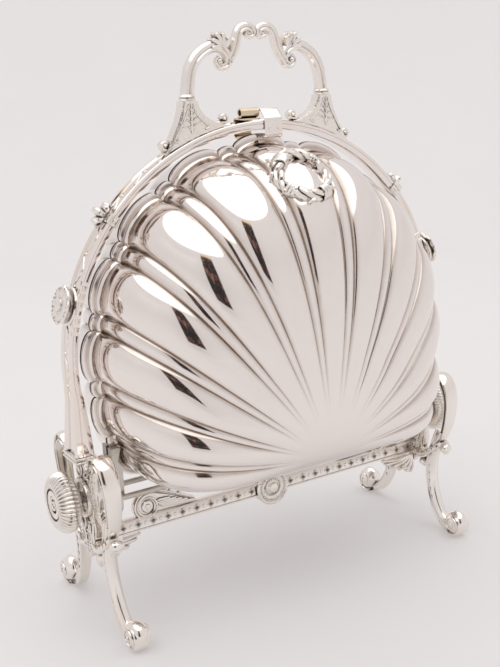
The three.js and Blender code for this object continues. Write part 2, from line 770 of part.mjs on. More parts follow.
function makeSector(phase) {
  const step = (2 * Math.PI) / teeth;
  const outline = [];
  const rootRadius = pivotY - toothRoot;
  const tipRadius = pivotY + toothTop;
  const firstTooth = -Math.ceil((toothSpread / step) + spareTeeth) + phase;
  const lastTooth = spareTeeth + phase;
  for (let i = firstTooth; i <= lastTooth; i++) {
    const middle = i * step;
    const flank = [rootRadius, pivotY, tipRadius].map((radius) => [radius, toothHalfAngle(radius)]);
    const rise = flank.map(([radius, half]) => [radius, middle - half]);
    const fall = flank.map(([radius, half]) => [radius, middle + half]).reverse();
    for (const [radius, angle] of [...rise, ...fall]) {
      outline.push([radius * Math.cos(angle), radius * Math.sin(angle)]);
    }
  }
  const [closingStart, closingEnd] = [(lastTooth + 0.5) * step, (firstTooth - 0.5) * step + 2 * Math.PI];
  const closing = arcPoints(rootRadius, closingStart, closingEnd, 10);
  const wheel = plateYZ(polygon([...outline, ...closing]), sectorThickness);
  const middleX = sectorInnerX + sectorThickness / 2;
  const outerX = sectorInnerX + sectorThickness;
  const hubEnd = endX - endPlateThickness / 2 - gap;
  wheel.translate(middleX, -pivotY, pivotZ);
  const hub = rodX(sectorHubRadius, sectorInnerX, hubEnd, -pivotY, pivotZ, 10);
  const strapBack = -(gap + lipThickness / 2);
  const strapFront = strapBack - strapThickness;
  const [strapInner, strapOuter] = [outerX - strapInnerReach, outerX - strapOuterReach];
  const foot = block(strapInner, outerX, strapFront, strapBack, pivotZ, strapFootTop);
  const strap = block(strapInner, strapOuter, strapFront, strapBack, pivotZ, strapTopZ);
  const bore = rodX(rodRadius + runningGap, sectorInnerX - overrun, hubEnd + overrun, -pivotY, pivotZ, 8);
  return cut(join(wheel, hub, foot, strap), ...shellRoom(), bore);
}

addBothEnds('front_sector', makeSector(0), steel);
addBothEnds('rear_sector', mirroredY(makeSector(0.5)), steel);

const rodEnd = endX + endPlateThickness / 2 - gap;
for (const [name, side] of [['front', -1], ['rear', 1]]) {
  add(`${name}_pivot_rod`, rodX(rodRadius, -rodEnd, rodEnd, side * pivotY, pivotZ, 12), steel);
}

// End plates: a leafy shield, a cap that the hoop stands on, a ring boss outside and two pierced eyes

const shieldShares = [
  [0.62, 1], [1, 0.89], [0.94, 0.76], [1.04, 0.62], [0.98, 0.5], [1.16, 0.4], [1.1, 0.27],
  [0.78, 0.22], [0.66, 0.1], [0.3, 0.06], [0, 0],
];

const shieldPoints = () =>
  shieldShares.map(([y, z]) => [
    y * endPlateHalfWidth,
    THREE.MathUtils.lerp(endPlateTipZ, endPlateTopZ, z),
  ]);

function makeEndPlate() {
  const right = shieldPoints();
  const left = right.slice(0, -1).reverse().map(([y, z]) => [-y, z]);
  const shield = plateYZ(polygon([...right, ...left]), endPlateThickness).translate(endX, 0, 0);
  const capInnerX = Math.min(hoopFootInnerX, endX - endPlateThickness / 2) - capOverhang;
  const capOuterX = hoopFootOuterX + capOverhang;
  const capTop = hoopFootZ - gap;
  const halfCap = hoopFlareDepth / 2 + capOverhang;
  const cap = block(capInnerX, capOuterX, -halfCap, halfCap, capTop - capHeight, capTop);
  const back = endX - endPlateThickness / 2;
  const face = endX + endPlateThickness / 2;
  const neckTop = capTop - capHeight / 2;
  const neck = block(back, face, -hoopDepth / 2, hoopDepth / 2, endPlateTopZ - capHeight, neckTop);
  const boss = turnedX(
    [
      [0, -overrun],
      [bossRadius, -overrun],
      [bossRadius, bossHeight * 0.6],
      [bossRadius - bossRim / 2, bossHeight],
      [bossRadius - bossRim, bossHeight * 0.6],
      [bossRadius - bossRim * 1.3, bossHeight * bossFloorShare],
      [0, bossHeight * bossFloorShare],
    ],
    18
  ).translate(face, 0, bossZ);
  const eyes = [0, 1].map((i) =>
    rodX(eyeRadius, endX - endPlateThickness, endX + endPlateThickness, 0, eyeZ - i * eyePitch, 10)
  );
  const bores = [-1, 1].map((side) =>
    rodX(rodRadius + runningGap, endX - endPlateThickness, face, side * pivotY, pivotZ, 8)
  );
  return cut(join(shield, cap, neck, boss), ...eyes, ...bores);
}

addBothEnds('end_plate', makeEndPlate(), cast);

// Legs: a polished band that bulges out as a C, a slanted collar, a shank that bends back, and a rolled
// foot. Outward places are shares of the bulge or of the foot's place, heights shares of the top.

const bandShares = [
  [0.42, 0.935], [0.53, 0.985], [0.74, 1], [0.92, 0.945],
  [1, 0.85], [0.97, 0.72], [0.86, 0.61], [0.7, 0.53],
];
const shankShares = [
  [0.545, 1.06], [0.46, 0.85], [0.445, 0.65], [0.49, 0.46], [0.585, 0.28], [0.72, 0.14], [0.87, 0.075],
];
const collarShares = [[0.2, 0.78], [0.42, 0.72], [0.86, 0.99], [0.84, 1.12], [0.78, 1.14], [0.2, 0.97]];

function makeLeg() {
  const band = ribbonShape(
    bandShares.map(([y, z]) => [y * legBulgeY, z * legTopZ]),
    (t) => legBandThickness * (0.75 + 0.25 * Math.sin(t * Math.PI)),
    12
  );
  const shank = ribbonShape(
    shankShares.map(([y, z]) => [y * footY, z * legCollarZ]),
    () => legShankThickness,
    8
  );
  const collarShape = polygon(collarShares.map(([y, z]) => [y * legBulgeY, z * legCollarZ]));
  const collar = plateYZ(collarShape, legWidth + legBandThickness / 2);
  const ball = (yShare, zShare) =>
    new THREE.SphereGeometry(collarBallRadius, 6, 4).translate(0, yShare * legBulgeY, zShare * legCollarZ);
  const webRadius = footRadius * footWebRadiusShare;
  const halfWeb = (footWidth * footWebShare) / 2;
  const footZ = webRadius - footFlat;
  const rollOutline = spiralShape(footRadius, 0.3, footRadius * 0.3, 1.3, footRollStart, 1, 10);
  const roll = plateYZ(rollOutline, footWidth).translate(0, footY, footZ);
  const web = rodX(webRadius, -halfWeb, halfWeb, footY, footZ, 12);
  const eye = rodX(footEyeRadius, -footWidth / 2, footWidth / 2, footY, footZ, 8);
  const bulk = join(
    plateYZ(band, legWidth + legBandThickness / 3),
    plateYZ(shank, legWidth * 0.8),
    collar,
    ball(0.93, 1.02),
    ball(0.36, 0.74),
    roll,
    web,
    eye
  );
  const under = block(-footWidth, footWidth, 0, 2 * footY, -footRadius, 0);
  const lean = new THREE.Matrix4().makeShear(0, 0, 0, 0, legLean, 0);
  return cut(bulk, under).applyMatrix4(lean).translate(endX - legLean * legLeanZ, 0, 0);
}

// A leg's inner end is cut to the outline of the end plate that it meets
function clearOfPlate(leg) {
  const plateSide = shieldPoints().map(([y, z]) => [y + gap, z]);
  const lowZ = endPlateTipZ - gap;
  const room = polygon([[0, endPlateTopZ], ...plateSide.slice(0, -1), [gap, lowZ], [0, lowZ]]);
  return cut(leg, plateYZ(room, legWidth * 2).translate(endX, 0, 0));
}

const rearLeg = clearOfPlate(makeLeg());
addBothEnds('leg_rear', rearLeg, cast);
addBothEnds('leg_front', mirroredY(rearLeg), cast);

// Snail knobs: a ribbed roll round a spiral face, on a stem out of the ring boss

function makeSnail() {
  const ringRadius = snailRadius - snailTubeRadius;
  const sides = snailRibs * 2;
  const around = 5;
  const round = arcPoints(1, -Math.PI / 2, Math.PI / 2, around);
  const profile = round.map(([x, y]) => [ringRadius + x * snailTubeRadius, (1 + y) * snailHalfDepth]);
  const faceHeight = snailHalfDepth * 1.55;
  const body = turnedX([[0, 0], ...profile, [ringRadius * 0.72, faceHeight], [0, faceHeight]], sides);
  const position = body.getAttribute('position');
  const point = new THREE.Vector3();
  for (let i = 0; i < position.count; i++) {
    point.fromBufferAttribute(position, i);
    const radius = Math.hypot(point.y, point.z);
    if (radius < ringRadius) continue;
    const ribbing = Math.cos(Math.atan2(point.z, point.y) * snailRibs);
    const share = 1 + (snailRibHeight * ribbing * (radius - ringRadius)) / snailTubeRadius / radius;
    position.setXYZ(i, point.x, point.y * share, point.z * share);
  }
  const spiralOutline = spiralShape(ringRadius * 0.86, 0.22, ringRadius * 0.2, snailTurns, 0, 1, 10);
  const spiral = plateYZ(spiralOutline, snailHalfDepth / 2).translate(faceHeight + snailHalfDepth / 12, 0, 0);
  const [eyeRim, eyeRise] = [ringRadius * 0.2, snailHalfDepth * 0.4];
  const eye = turnedX([[0, 0], [eyeRim, 0], [eyeRim * 0.7, eyeRise * 0.75], [0, eyeRise]], 10);
  eye.translate(faceHeight - gap, 0, 0);
  const plateX = endX + endPlateThickness / 2;
  const bodyX = plateX + bossHeight + snailStandOff;
  const stemStart = plateX + bossHeight * bossFloorShare + gap;
  const stem = rodX(snailStemRadius, stemStart, bodyX + snailHalfDepth / 2, 0, bossZ, 12);
  const snail = [closed(body), spiral, eye].map((piece) => piece.translate(bodyX, 0, bossZ));
  return join(...snail, stem);
}

addBothEnds('snail_knob', makeSnail(), cast);

// Bar with a fillet along each edge, and its ornaments

const barEndX = endX - endPlateThickness / 2 - gap;
const barTopZ = barZ + barHeight / 2;
const barLowZ = barZ - barHeight / 2;

function makeBar() {
  const [half, back] = [barThickness / 2, barThickness / 2 - barSink];
  const side = (sign) => [
    [sign * half, barLowZ], [sign * half, barLowZ + barFillet], [sign * back, barLowZ + barFillet * 1.4],
    [sign * back, barTopZ - barFillet * 1.4], [sign * half, barTopZ - barFillet], [sign * half, barTopZ],
  ];
  return plateYZ(polygon([...side(1), ...side(-1).reverse()]), 2 * barEndX);
}

add('stretcher', makeBar(), cast);

function makeScroll() {
  const spiralOutline = spiralShape(scrollRadius, 0.28, scrollBand, 1.5, Math.PI / 2, 1, 10);
  const spiral = plateXZ(spiralOutline, scrollThickness);
  const web = new THREE.CylinderGeometry(scrollRadius * 0.95, scrollRadius * 0.95, scrollThickness / 2, 14);
  const eye = new THREE.CylinderGeometry(scrollBand, scrollBand, scrollThickness * 1.15, 8);
  const tailTop = scrollZ + scrollRadius - scrollBand / 2;
  const tail = ribbonShape(
    [
      [scrollX, tailTop],
      [THREE.MathUtils.lerp(scrollX, scrollTailX, 0.35), THREE.MathUtils.lerp(tailTop, barTopZ, 0.2)],
      [THREE.MathUtils.lerp(scrollX, scrollTailX, 0.7), THREE.MathUtils.lerp(tailTop, barTopZ, 0.62)],
      [scrollTailX, barTopZ + scrollBand * 0.5],
    ],
    (t) => scrollBand * (1 + 0.3 * Math.sin(t * Math.PI)),
    5
  );
  const fill = polygon([
    [scrollX, tailTop],
    [THREE.MathUtils.lerp(scrollX, scrollTailX, 0.35), THREE.MathUtils.lerp(tailTop, barTopZ, 0.2)],
    [THREE.MathUtils.lerp(scrollX, scrollTailX, 0.7), THREE.MathUtils.lerp(tailTop, barTopZ, 0.62)],
    [scrollTailX, barTopZ],
    [scrollX, barTopZ],
  ]);
  const bulk = join(
    spiral.translate(scrollX, 0, scrollZ),
    web.translate(scrollX, 0, scrollZ),
    eye.translate(scrollX, 0, scrollZ),
    plateXZ(tail, scrollThickness),
    plateXZ(fill, scrollThickness / 2)
  );
  const under = block(0, endX, -scrollThickness, scrollThickness, 0, barTopZ + gap);
  return cut(bulk, under);
}

addBothEnds('stretcher_scroll', makeScroll(), cast);

const leafOutlineShares = [
  [0, 0], [1, 0], [1.02, 0.22], [0.86, 0.3], [0.7, 0.24], [0.62, 0.55], [0.4, 0.62], [0.3, 0.9], [0, 1],
];
const leafReliefShare = 0.7; // size of the raised part

function makeBracketLeaf() {
  const outline = (size, shift) =>
    polygon(
      leafOutlineShares.map(([x, z]) => [
        barEndX - (shift + size * x) * leafReach,
        barLowZ - gap - (shift + size * z) * leafDrop,
      ])
    );
  const raised = outline(leafReliefShare, (1 - leafReliefShare) / 3);
  return join(plateXZ(outline(1, 0), leafThickness), plateXZ(raised, leafThickness * 1.4));
}

addBothEnds('stretcher_leaf', makeBracketLeaf(), cast);

function makeMedallion() {
  const [r, t] = [medallionRadius, medallionThickness];
  const profile = [
    [0, 0], [r, 0], [r, t * 0.55], [r * 0.9, t * 0.75], [r * 0.8, t * 0.45], [r * 0.45, t * 0.4],
    [r * 0.3, t * 0.55], [r * 0.24, t], [0, t * 1.15],
  ];
  return turnedX(profile, 18).rotateZ(Math.PI / 2).translate(0, barThickness / 2 + gap, barZ);
}

const rearMedallion = makeMedallion();
add('medallion_rear', rearMedallion, cast);
add('medallion_front', mirroredY(rearMedallion), cast);

// Wreath: a ring that follows the middle lobe, with ribbon wraps

function makeWreath() {
  const middleShare = (wreathZ - umboZ) / rimDistance(0);
  const middle = dishPoint(0, middleShare);
  const step = 0.01;
  const slope = dishPoint(0, middleShare + step).sub(dishPoint(0, middleShare - step)).normalize();
  const normal = new THREE.Vector3(0, -slope.z, slope.y);
  const lift = wreathTubeRadius * wreathLiftShare;
  const steps = 28;
  const grow = 1 + lobeSwell / shellRadius;
  const inside = (point) => {
    const x = point.x / grow;
    const z = shellCentreZ + (point.z - shellCentreZ) / grow;
    const depth = -(point.y + gap / 2 + lipThickness) / grow;
    return dishShare(x, z) < 1 && depth < dishDepth(x, z);
  };
  const seat = (flat) => {
    let [below, above] = [-wreathRadius, wreathRadius];
    for (let i = 0; i < 30; i++) {
      const half = (below + above) / 2;
      if (inside(flat.clone().addScaledVector(normal, half))) below = half;
      else above = half;
    }
    return flat.clone().addScaledVector(normal, below + lift);
  };
  const points = Array.from({ length: steps }, (_, i) => {
    const turn = (i / steps) * Math.PI * 2;
    const flat = middle.clone().addScaledVector(slope, wreathRadius * Math.cos(turn));
    flat.x += wreathRadius * Math.sin(turn);
    return seat(flat);
  });
  const ring = new THREE.CatmullRomCurve3(points, true);
  const wreathTubeTurn = 2 * Math.PI * (1 - 1 / wreathTubeSides);
  const section = polygon(arcPoints(wreathTubeRadius, 0, wreathTubeTurn, wreathTubeSides - 1));
  const tube = new THREE.ExtrudeGeometry(section, { steps: 24, bevelEnabled: false, extrudePath: ring });
  const wraps = Array.from({ length: wreathWraps }, (_, i) => {
    const at = i / wreathWraps; // the first one covers the ring's seam
    const wrap = new THREE.CylinderGeometry(wreathWrapRadius, wreathWrapRadius, wreathWrapRadius, 6);
    const along = ring.getTangentAt(at);
    const turn = new THREE.Quaternion().setFromUnitVectors(new THREE.Vector3(0, 1, 0), along);
    const place = ring.getPointAt(at).addScaledVector(normal, wreathWrapRadius - wreathTubeRadius);
    return wrap.applyQuaternion(turn).translate(place.x, place.y, place.z);
  });
  return cut(join(tube, ...wraps), ...shellRoom());
}

add('wreath', makeWreath(), cast);

// Catches: spring straps that stand on the lips, side by side. The front one rises before the hoop and
// leans back over it as a thumb plate. The rear one lies over the hoop's top and ends in a roll.

const catchFaceY = -(hoopDepth / 2 + gap);
const catchTopZ = hoopCentreZ + hoopRadius + gap;
const catchLegFoot = catchTopZ - catchFootDrop;
const halfCatch = catchWidth / 2;

function seatedCatch(x, ...parts) {
  const frontY = catchFaceY - catchThickness;
  const shellTopZ = dishPoint(0, 1).z;
  const footTop = catchLegFoot + overrun;
  const foot = block(-halfCatch, halfCatch, frontY, -(2 * gap + lipThickness), shellTopZ - lipWidth, footTop);
  const body = join(...parts, foot).translate(x, 0, 0);
  return cut(body, ...shellRoom(), plateXZ(hoopOutline(gap, -gap, hoopFootZ), hoopDepth + 2 * gap));
}

function makeFrontCatch(x) {
  const outerY = catchFaceY - catchThickness;
  const plateTopY = catchFaceY + catchPlateLean;
  const plateTopZ = catchTopZ + catchPlateRise;
  const side = polygon([
    [catchFaceY, catchLegFoot],
    [catchFaceY, catchTopZ],
    [plateTopY, plateTopZ],
    [plateTopY - catchThickness, plateTopZ + catchThickness / 2],
    [outerY, catchTopZ + catchThickness / 2],
    [outerY, catchLegFoot],
  ]);
  return seatedCatch(x, plateYZ(side, catchWidth));
}

function makeRearCatch(x) {
  const outerY = catchFaceY - catchThickness;
  const strapTop = catchTopZ + catchThickness;
  const side = polygon([
    [catchFaceY, catchLegFoot],
    [catchFaceY, catchTopZ],
    [catchReachY, catchTopZ],
    [catchReachY, strapTop],
    [outerY, strapTop],
    [outerY, catchLegFoot],
  ]);
  const rollZ = strapTop + catchRollRise + catchRollRadius;
  const roll = rodX(catchRollRadius, -halfCatch, halfCatch, 0, rollZ, 12);
  const hollow = rodX(catchRollRadius - catchThickness, -catchWidth, catchWidth, 0, rollZ, 12);
  const riserTop = rollZ - catchRollRadius + catchThickness / 2;
  const riser = block(-halfCatch, halfCatch, -catchThickness, catchThickness, catchTopZ, riserTop);
  return mirroredY(seatedCatch(x, plateYZ(side, catchWidth), cut(roll, hollow), riser));
}

const catchX = (catchWidth + gap) / 2;
add('front_catch', makeFrontCatch(catchX), polished);
add('rear_catch', makeRearCatch(-catchX), polished);

// Pierced flaps and their pins

function flapEdge(angle) {
  let [near, far] = [0, 2 * shellRadius];
  const share = 1 - (shellWall + flapInset) / lowHeight;
  for (let i = 0; i < 40; i++) {
    const middle = (near + far) / 2;
    if (dishShare(middle * Math.sin(angle), umboZ + middle * Math.cos(angle)) < share) near = middle;
    else far = middle;
  }
  return near;
}

function makeFlap() {
  const edgeSteps = 36;
  const sweep = Math.PI / 2 + Math.atan2(umboZ - flapLowZ, shellRadius * 0.7);
  const outline = Array.from({ length: edgeSteps + 1 }, (_, i) => {
    const angle = THREE.MathUtils.lerp(sweep, -sweep, i / edgeSteps);
    const distance = flapEdge(angle);
    return [distance * Math.sin(angle), umboZ + distance * Math.cos(angle)];
  });
  const plate = polygon(outline);
  const halfLobe = (lobePitch * (1 - reedShare)) / 2;
  for (let lobe = 1; lobe < lobeCount - 1; lobe++) {
    const angle = (lobe - (lobeCount - 1) / 2) * lobePitch;
    const length = flapEdge(angle);
    for (let row = 0; row < flapSlotRows; row++) {
      const middle = length * (0.42 + 0.22 * row);
      const across = middle * halfLobe * flapSlotShare * 2;
      const along = length * 0.075;
      const slot = [0, 1, 2, 3].map((corner) => {
        const turn = (corner / 4) * Math.PI * 2;
        const [far, wide] = [middle + along * Math.cos(turn), across * Math.sin(turn)];
        return [
          far * Math.sin(angle) + wide * Math.cos(angle),
          umboZ + far * Math.cos(angle) - wide * Math.sin(angle),
        ];
      });
      plate.holes.push(polygon(slot));
    }
  }
  const sheet = plateXZ(plate, flapThickness).translate(0, -flapY, 0);
  const barrelHalf = flapPinHalfLength - flapLugWidth - flapLugPlay;
  const barrel = rodX(flapBarrelRadius, -barrelHalf, barrelHalf, -flapY, flapPinZ, 12);
  const [frontY, backY] = [-flapY - flapThickness / 2, -flapY + flapThickness / 2];
  const hinge = block(-barrelHalf, barrelHalf, frontY, backY, flapPinZ, flapLowZ + flapBarrelRadius);
  const boreHalf = barrelHalf + overrun;
  const bore = rodX(flapPinRadius + runningGap, -boreHalf, boreHalf, -flapY, flapPinZ, 12);
  return cut(join(sheet, barrel, hinge), bore);
}

const frontFlap = makeFlap();
add('front_grille', frontFlap, gilt);
add('rear_grille', mirroredY(frontFlap), gilt);
for (const [name, side] of [['front', -1], ['rear', 1]]) {
  const pin = rodX(flapPinRadius, -flapPinHalfLength, flapPinHalfLength, side * flapY, flapPinZ, 10);
  add(`${name}_grille_pin`, pin, steel);
}

export default biscuitBox;
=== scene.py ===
from math import atan2, copysign, cos, exp, hypot, pi, radians, sin, sqrt
import bpy
import bmesh
from mathutils import Matrix, Vector


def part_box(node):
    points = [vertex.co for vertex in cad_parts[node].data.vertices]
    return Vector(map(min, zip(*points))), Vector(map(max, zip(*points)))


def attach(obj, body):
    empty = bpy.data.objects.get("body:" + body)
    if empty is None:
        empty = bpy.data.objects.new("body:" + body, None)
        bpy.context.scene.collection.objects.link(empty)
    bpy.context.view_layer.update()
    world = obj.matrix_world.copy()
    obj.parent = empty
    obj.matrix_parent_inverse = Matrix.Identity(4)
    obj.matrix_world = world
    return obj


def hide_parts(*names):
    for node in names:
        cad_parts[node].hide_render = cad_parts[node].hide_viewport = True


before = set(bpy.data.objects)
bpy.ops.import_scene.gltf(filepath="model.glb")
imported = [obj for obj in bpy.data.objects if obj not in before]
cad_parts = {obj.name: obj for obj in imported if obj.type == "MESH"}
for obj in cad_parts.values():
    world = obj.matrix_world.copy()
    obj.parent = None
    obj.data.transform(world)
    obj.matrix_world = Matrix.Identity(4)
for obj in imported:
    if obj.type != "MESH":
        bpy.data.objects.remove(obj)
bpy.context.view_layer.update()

# Camera: it stands at the front left, a little above the box, at the picture's own angle, and is rolled by
# a degree and a half.

mm = 0.001
view_turn, view_rise, view_roll = radians(-33.16), radians(15.31), radians(-1.49)
view_distance, aim_height, aim_aside = 540.6 * mm, 129.2 * mm, 12.7 * mm
picture_width, picture_height = 500, 667
focal_pixels, middle_column, middle_row = 1014, 288.5, 336.5


def added(name, data):
    """Puts a new object into the scene."""
    obj = bpy.data.objects.new(name, data)
    bpy.context.scene.collection.objects.link(obj)
    return obj


camera_data = bpy.data.cameras.new("camera")
camera_data.sensor_fit = "VERTICAL"
camera_data.sensor_height = 24
camera_data.lens = focal_pixels * camera_data.sensor_height / picture_height
camera_data.shift_x = -(middle_column - picture_width / 2) / picture_height
camera_data.shift_y = (middle_row - picture_height / 2) / picture_height
camera_data.clip_start = 0.01
camera = added("camera", camera_data)
camera.matrix_world = (
    Matrix.Translation((0, 0, aim_height)) @ Matrix.Rotation(view_turn, 4, "Z")
    @ Matrix.Translation((aim_aside, 0, 0)) @ Matrix.Rotation(pi / 2 - view_rise, 4, "X")
    @ Matrix.Rotation(view_roll, 4, "Z") @ Matrix.Translation((0, 0, view_distance)))
bpy.context.scene.camera = camera
bpy.context.scene.view_settings.view_transform = "Standard"

# Table and backdrop: one pale sheet of card that lies flat under the box and curves up all round it. Light
# comes in above its rim and from soft lamps, and the silver mirrors a dark sheet behind the camera that
# paints the shade of an opening, with a painted lit band along its top.


class Finish:
    """A material. Each call that adds a node gives the output that the next call takes."""

    def __init__(self, name):
        self.material = bpy.data.materials.new(name)
        self.material.use_nodes = True
        self.place = self.add("TexCoord", "Object", {})

    def fill(self, node, inputs):
        for key, value in inputs.items():
            socket = node.inputs[key]
            if isinstance(value, bpy.types.NodeSocket):
                self.material.node_tree.links.new(value, socket)
            else:
                socket.default_value = (*value, 1) if socket.type == "RGBA" else value

    def add(self, kind, output, inputs, **settings):
        node = self.material.node_tree.nodes.new("ShaderNode" + kind)
        for key, value in settings.items():
            setattr(node, key, value)
        self.fill(node, inputs)
        return node.outputs[output]

    def noise(self, scale, detail, place=None, **more):
        place = self.place if place is None else place
        return self.add("TexNoise", "Fac", {"Vector": place, "Scale": scale, "Detail": detail, **more})

    def stretched(self, scale, turns):
        return self.add("Mapping", "Vector", {"Vector": self.place, "Scale": scale, "Rotation": turns})

    def mapped(self, value, low, high, start=0, end=1):
        return self.add("MapRange", "Result", {
            "Value": value, "From Min": low, "From Max": high, "To Min": start, "To Max": end})

    def mixed(self, share, first, second):
        return self.add("Mix", "Result", {"Factor": share, "A": first, "B": second}, data_type="RGBA")

    def combined(self, operation, *values, **settings):
        return self.add("Math", "Value", dict(enumerate(values)), operation=operation, **settings)

    def bumped(self, height, strength, distance, **more):
        return self.add("Bump", "Normal", {
            "Height": height, "Strength": strength, "Distance": distance, **more})

    def shaded(self, inputs):
        """Gives the material, with its shader's inputs filled."""
        self.fill(self.material.node_tree.nodes["Principled BSDF"], inputs)
        return self.material


def new_object(name, verts, faces, sharp=radians(35), marks=None):
    """A smooth-shaded object in metres. Marks are a number for each point, kept as the attribute crease."""
    mesh = bpy.data.meshes.new(name)
    mesh.from_pydata([tuple(v) for v in verts], [], faces)
    mesh.validate()
    if marks:
        mesh.attributes.new("crease", "FLOAT", "POINT").data.foreach_set("value", marks)
    tidy = bmesh.new()
    tidy.from_mesh(mesh)
    bmesh.ops.remove_doubles(tidy, verts=tidy.verts, dist=0.002 * mm)
    bmesh.ops.recalc_face_normals(tidy, faces=tidy.faces)
    tidy.to_mesh(mesh)
    tidy.free()
    mesh.polygons.foreach_set("use_smooth", [True] * len(mesh.polygons))
    mesh.set_sharp_from_angle(angle=sharp)
    return added(name, mesh)


def circle(radius, at=(0, 0), steps=20):
    turns = [2 * pi * i / steps for i in range(steps)]
    return [(at[0] + radius * cos(turn), at[1] + radius * sin(turn)) for turn in turns]


def grid_faces(rows, sides, looped=False):
    """Quads between rows of points. Each row runs round in a loop, and so can the rows themselves."""
    faces = []
    for row in range(rows if looped else rows - 1):
        here, after = row * sides, (row + 1) % rows * sides
        for i in range(sides):
            beside = (i + 1) % sides
            faces.append((here + i, here + beside, after + beside, after + i))
    return faces


def lathe_grid(profile, sides):
    """A turned shape from (radius, height) pairs."""
    verts = [Vector((x, y, height)) for radius, height in profile for x, y in circle(radius, steps=sides)]
    return verts, grid_faces(len(profile), sides)


card_flat, card_bend, card_rim, bend_steps = 0.85, 0.6, 1.8, 12
profile = [(0.0001, 0), (0.2, 0), (0.5, 0), (card_flat, 0)]
for step in range(1, bend_steps + 1):
    turn = pi / 2 * step / bend_steps
    profile.append((card_flat + card_bend * sin(turn), card_bend * (1 - cos(turn))))
profile.append((card_flat + card_bend, card_rim))
card = new_object("backdrop", *lathe_grid(profile, 96))
pale_card = Finish("pale_card")
card.data.materials.append(pale_card.shaded({
    "Base Color": pale_card.mixed(pale_card.noise(9, 5), (0.41, 0.4, 0.398), (0.435, 0.424, 0.422)),
    "Roughness": 0.9, "Specular IOR Level": 0.1,
    "Emission Color": (1, 0.97, 0.966), "Emission Strength": 0.32,
}))

world = bpy.data.worlds.new("studio")
bpy.context.scene.world = world
world.use_nodes = True
sky = world.node_tree.nodes["Background"]
sky.inputs["Color"].default_value = (1, 0.99, 0.985, 1)
sky.inputs["Strength"].default_value = 1.5

for name, place_at, size, watts in (("lamp_left", (-1.1, -0.3, 1.5), (1.3, 0.95), 4),
                                    ("lamp_right", (0.7, -0.5, 1.6), (0.95, 0.95), 2),
                                    ("lamp_behind", (0.1, 0.8, 1.6), (1.2, 0.7), 2)):
    light = bpy.data.lights.new(name, "AREA")
    light.shape = "ELLIPSE"
    light.size, light.size_y = size
    light.energy = watts
    light.color = (1, 0.99, 0.98)
    lamp = added(name, light)
    lamp.location = place_at
    lamp.rotation_euler = (Vector((0, 0, 0.12)) - lamp.location).to_track_quat("-Z", "Y").to_euler()
    lamp.visible_glossy = False

opening_half, opening_low, opening_high = 0.18, -0.54, 0.46
corners = [(x, 0, z) for x, z in ((-opening_half, opening_low), (opening_half, opening_low),
                                  (opening_half, opening_high), (-opening_half, opening_high))]
opening = new_object("dark_opening", corners, [(0, 1, 2, 3)])
opening.location = (-0.42, -0.87, 0.7)
opening.rotation_euler = (0, 0, radians(-29))
# This sheet's colour is painted shade: nearly black with brown streaks, and a painted warm lit band along
# its top.
opening_shade_sheet = Finish("opening_shade_sheet")
height = opening_shade_sheet.add("SeparateXYZ", "Z", {"Vector": opening_shade_sheet.place})
shade_streaks = opening_shade_sheet.mapped(opening_shade_sheet.noise(7, 6, Distortion=1.2), 0.49, 0.68)
shade_colour = opening_shade_sheet.mixed(shade_streaks, (0.022, 0.02, 0.023), (0.34, 0.17, 0.12))
lit_top = opening_shade_sheet.mapped(height, opening_high - 0.1, opening_high - 0.02)
opening.data.materials.append(opening_shade_sheet.shaded({
    "Base Color": opening_shade_sheet.mixed(lit_top, shade_colour, (0.8, 0.62, 0.33)), "Roughness": 1}))
opening.visible_camera = False
opening.visible_shadow = False

# Hoop: a cast band of plated metal, bent to a round arch and soldered to the end plates. Its outer edge
# is a sunk channel with a chased scroll in it, and near each rosette its sides carry a ladder of ribs.

along_x = (1, 0, 0)


def spline(points, per=6, closed=False):
    """A smooth line through the points, with so many steps from each to the next."""
    out = []
    count = len(points)
    for i in range(count if closed else count - 1):
        near = [k % count if closed else min(max(k, 0), count - 1) for k in range(i - 1, i + 3)]
        a, b, c, d = (Vector(points[k]) for k in near)
        for step in range(per):
            t = step / per
            out.append(0.5 * (2 * b + (c - a) * t + (2 * a - 5 * b + 4 * c - d) * t ** 2
                              + (3 * b - a - 3 * c + d) * t ** 3))
    if not closed:
        out.append(Vector(points[-1]))
    return out


def swept(points, section, size_at=lambda t: 1, flat=(0, 1, 0), closed=False):
    """Sweeps a section of (sideways, along flat) pairs in mm along points in mm."""
    flat = Vector(flat).normalized()
    count, sides = len(points), len(section)
    verts = []
    for i, point in enumerate(points):
        before = points[i - 1] if i or closed else point
        after = points[(i + 1) % count] if i < count - 1 or closed else point
        side = flat.cross((after - before).normalized()).normalized()
        size = size_at(i / (count - 1))
        verts += [point + side * a * size + flat * b * size for a, b in section]
    faces = grid_faces(count, sides, closed)
    if not closed:
        for start in (0, (count - 1) * sides):
            verts.append(sum((verts[start + k] for k in range(sides)), Vector()) / sides)
            faces += [(start + k, start + (k + 1) % sides, len(verts) - 1) for k in range(sides)]
    return verts, faces


def joined(*shapes):
    verts, faces = [], []
    for shape_verts, shape_faces in shapes:
        start = len(verts)
        verts += shape_verts
        faces += [tuple(start + k for k in face) for face in shape_faces]
    return verts, faces


def moved(shape, matrix):
    return [matrix @ Vector(v) for v in shape[0]], shape[1]


def shifted(shape, x=0, y=0, z=0):
    return moved(shape, Matrix.Translation((x, y, z)))


def flipped(shape, axis=0):
    return [Vector([-c if k == axis else c for k, c in enumerate(v)]) for v in shape[0]], shape[1]


def both_sides(half_section, length=0):
    """Adds the mirror image to (a, b) pairs, about b at half the length."""
    return half_section + [(a, length - b) for a, b in reversed(half_section) if b != length / 2]


def round_section(half_width, half_depth, sides=12, fullness=2):
    return [(half_width * copysign(abs(c) ** (2 / fullness), c),
             half_depth * copysign(abs(s) ** (2 / fullness), s)) for c, s in circle(1, steps=sides)]


def tube(points, radius, per=5, sides=8, ends=(1, 1), flat=(0, 1, 0), closed=False, deep=0, fullness=2):
    """A bar along a smooth line, whose size goes from one end's share to the other's."""
    return swept(spline(points, per, closed), round_section(radius, deep or radius, sides, fullness),
                 lambda t: ends[0] + (ends[1] - ends[0]) * t, flat, closed)


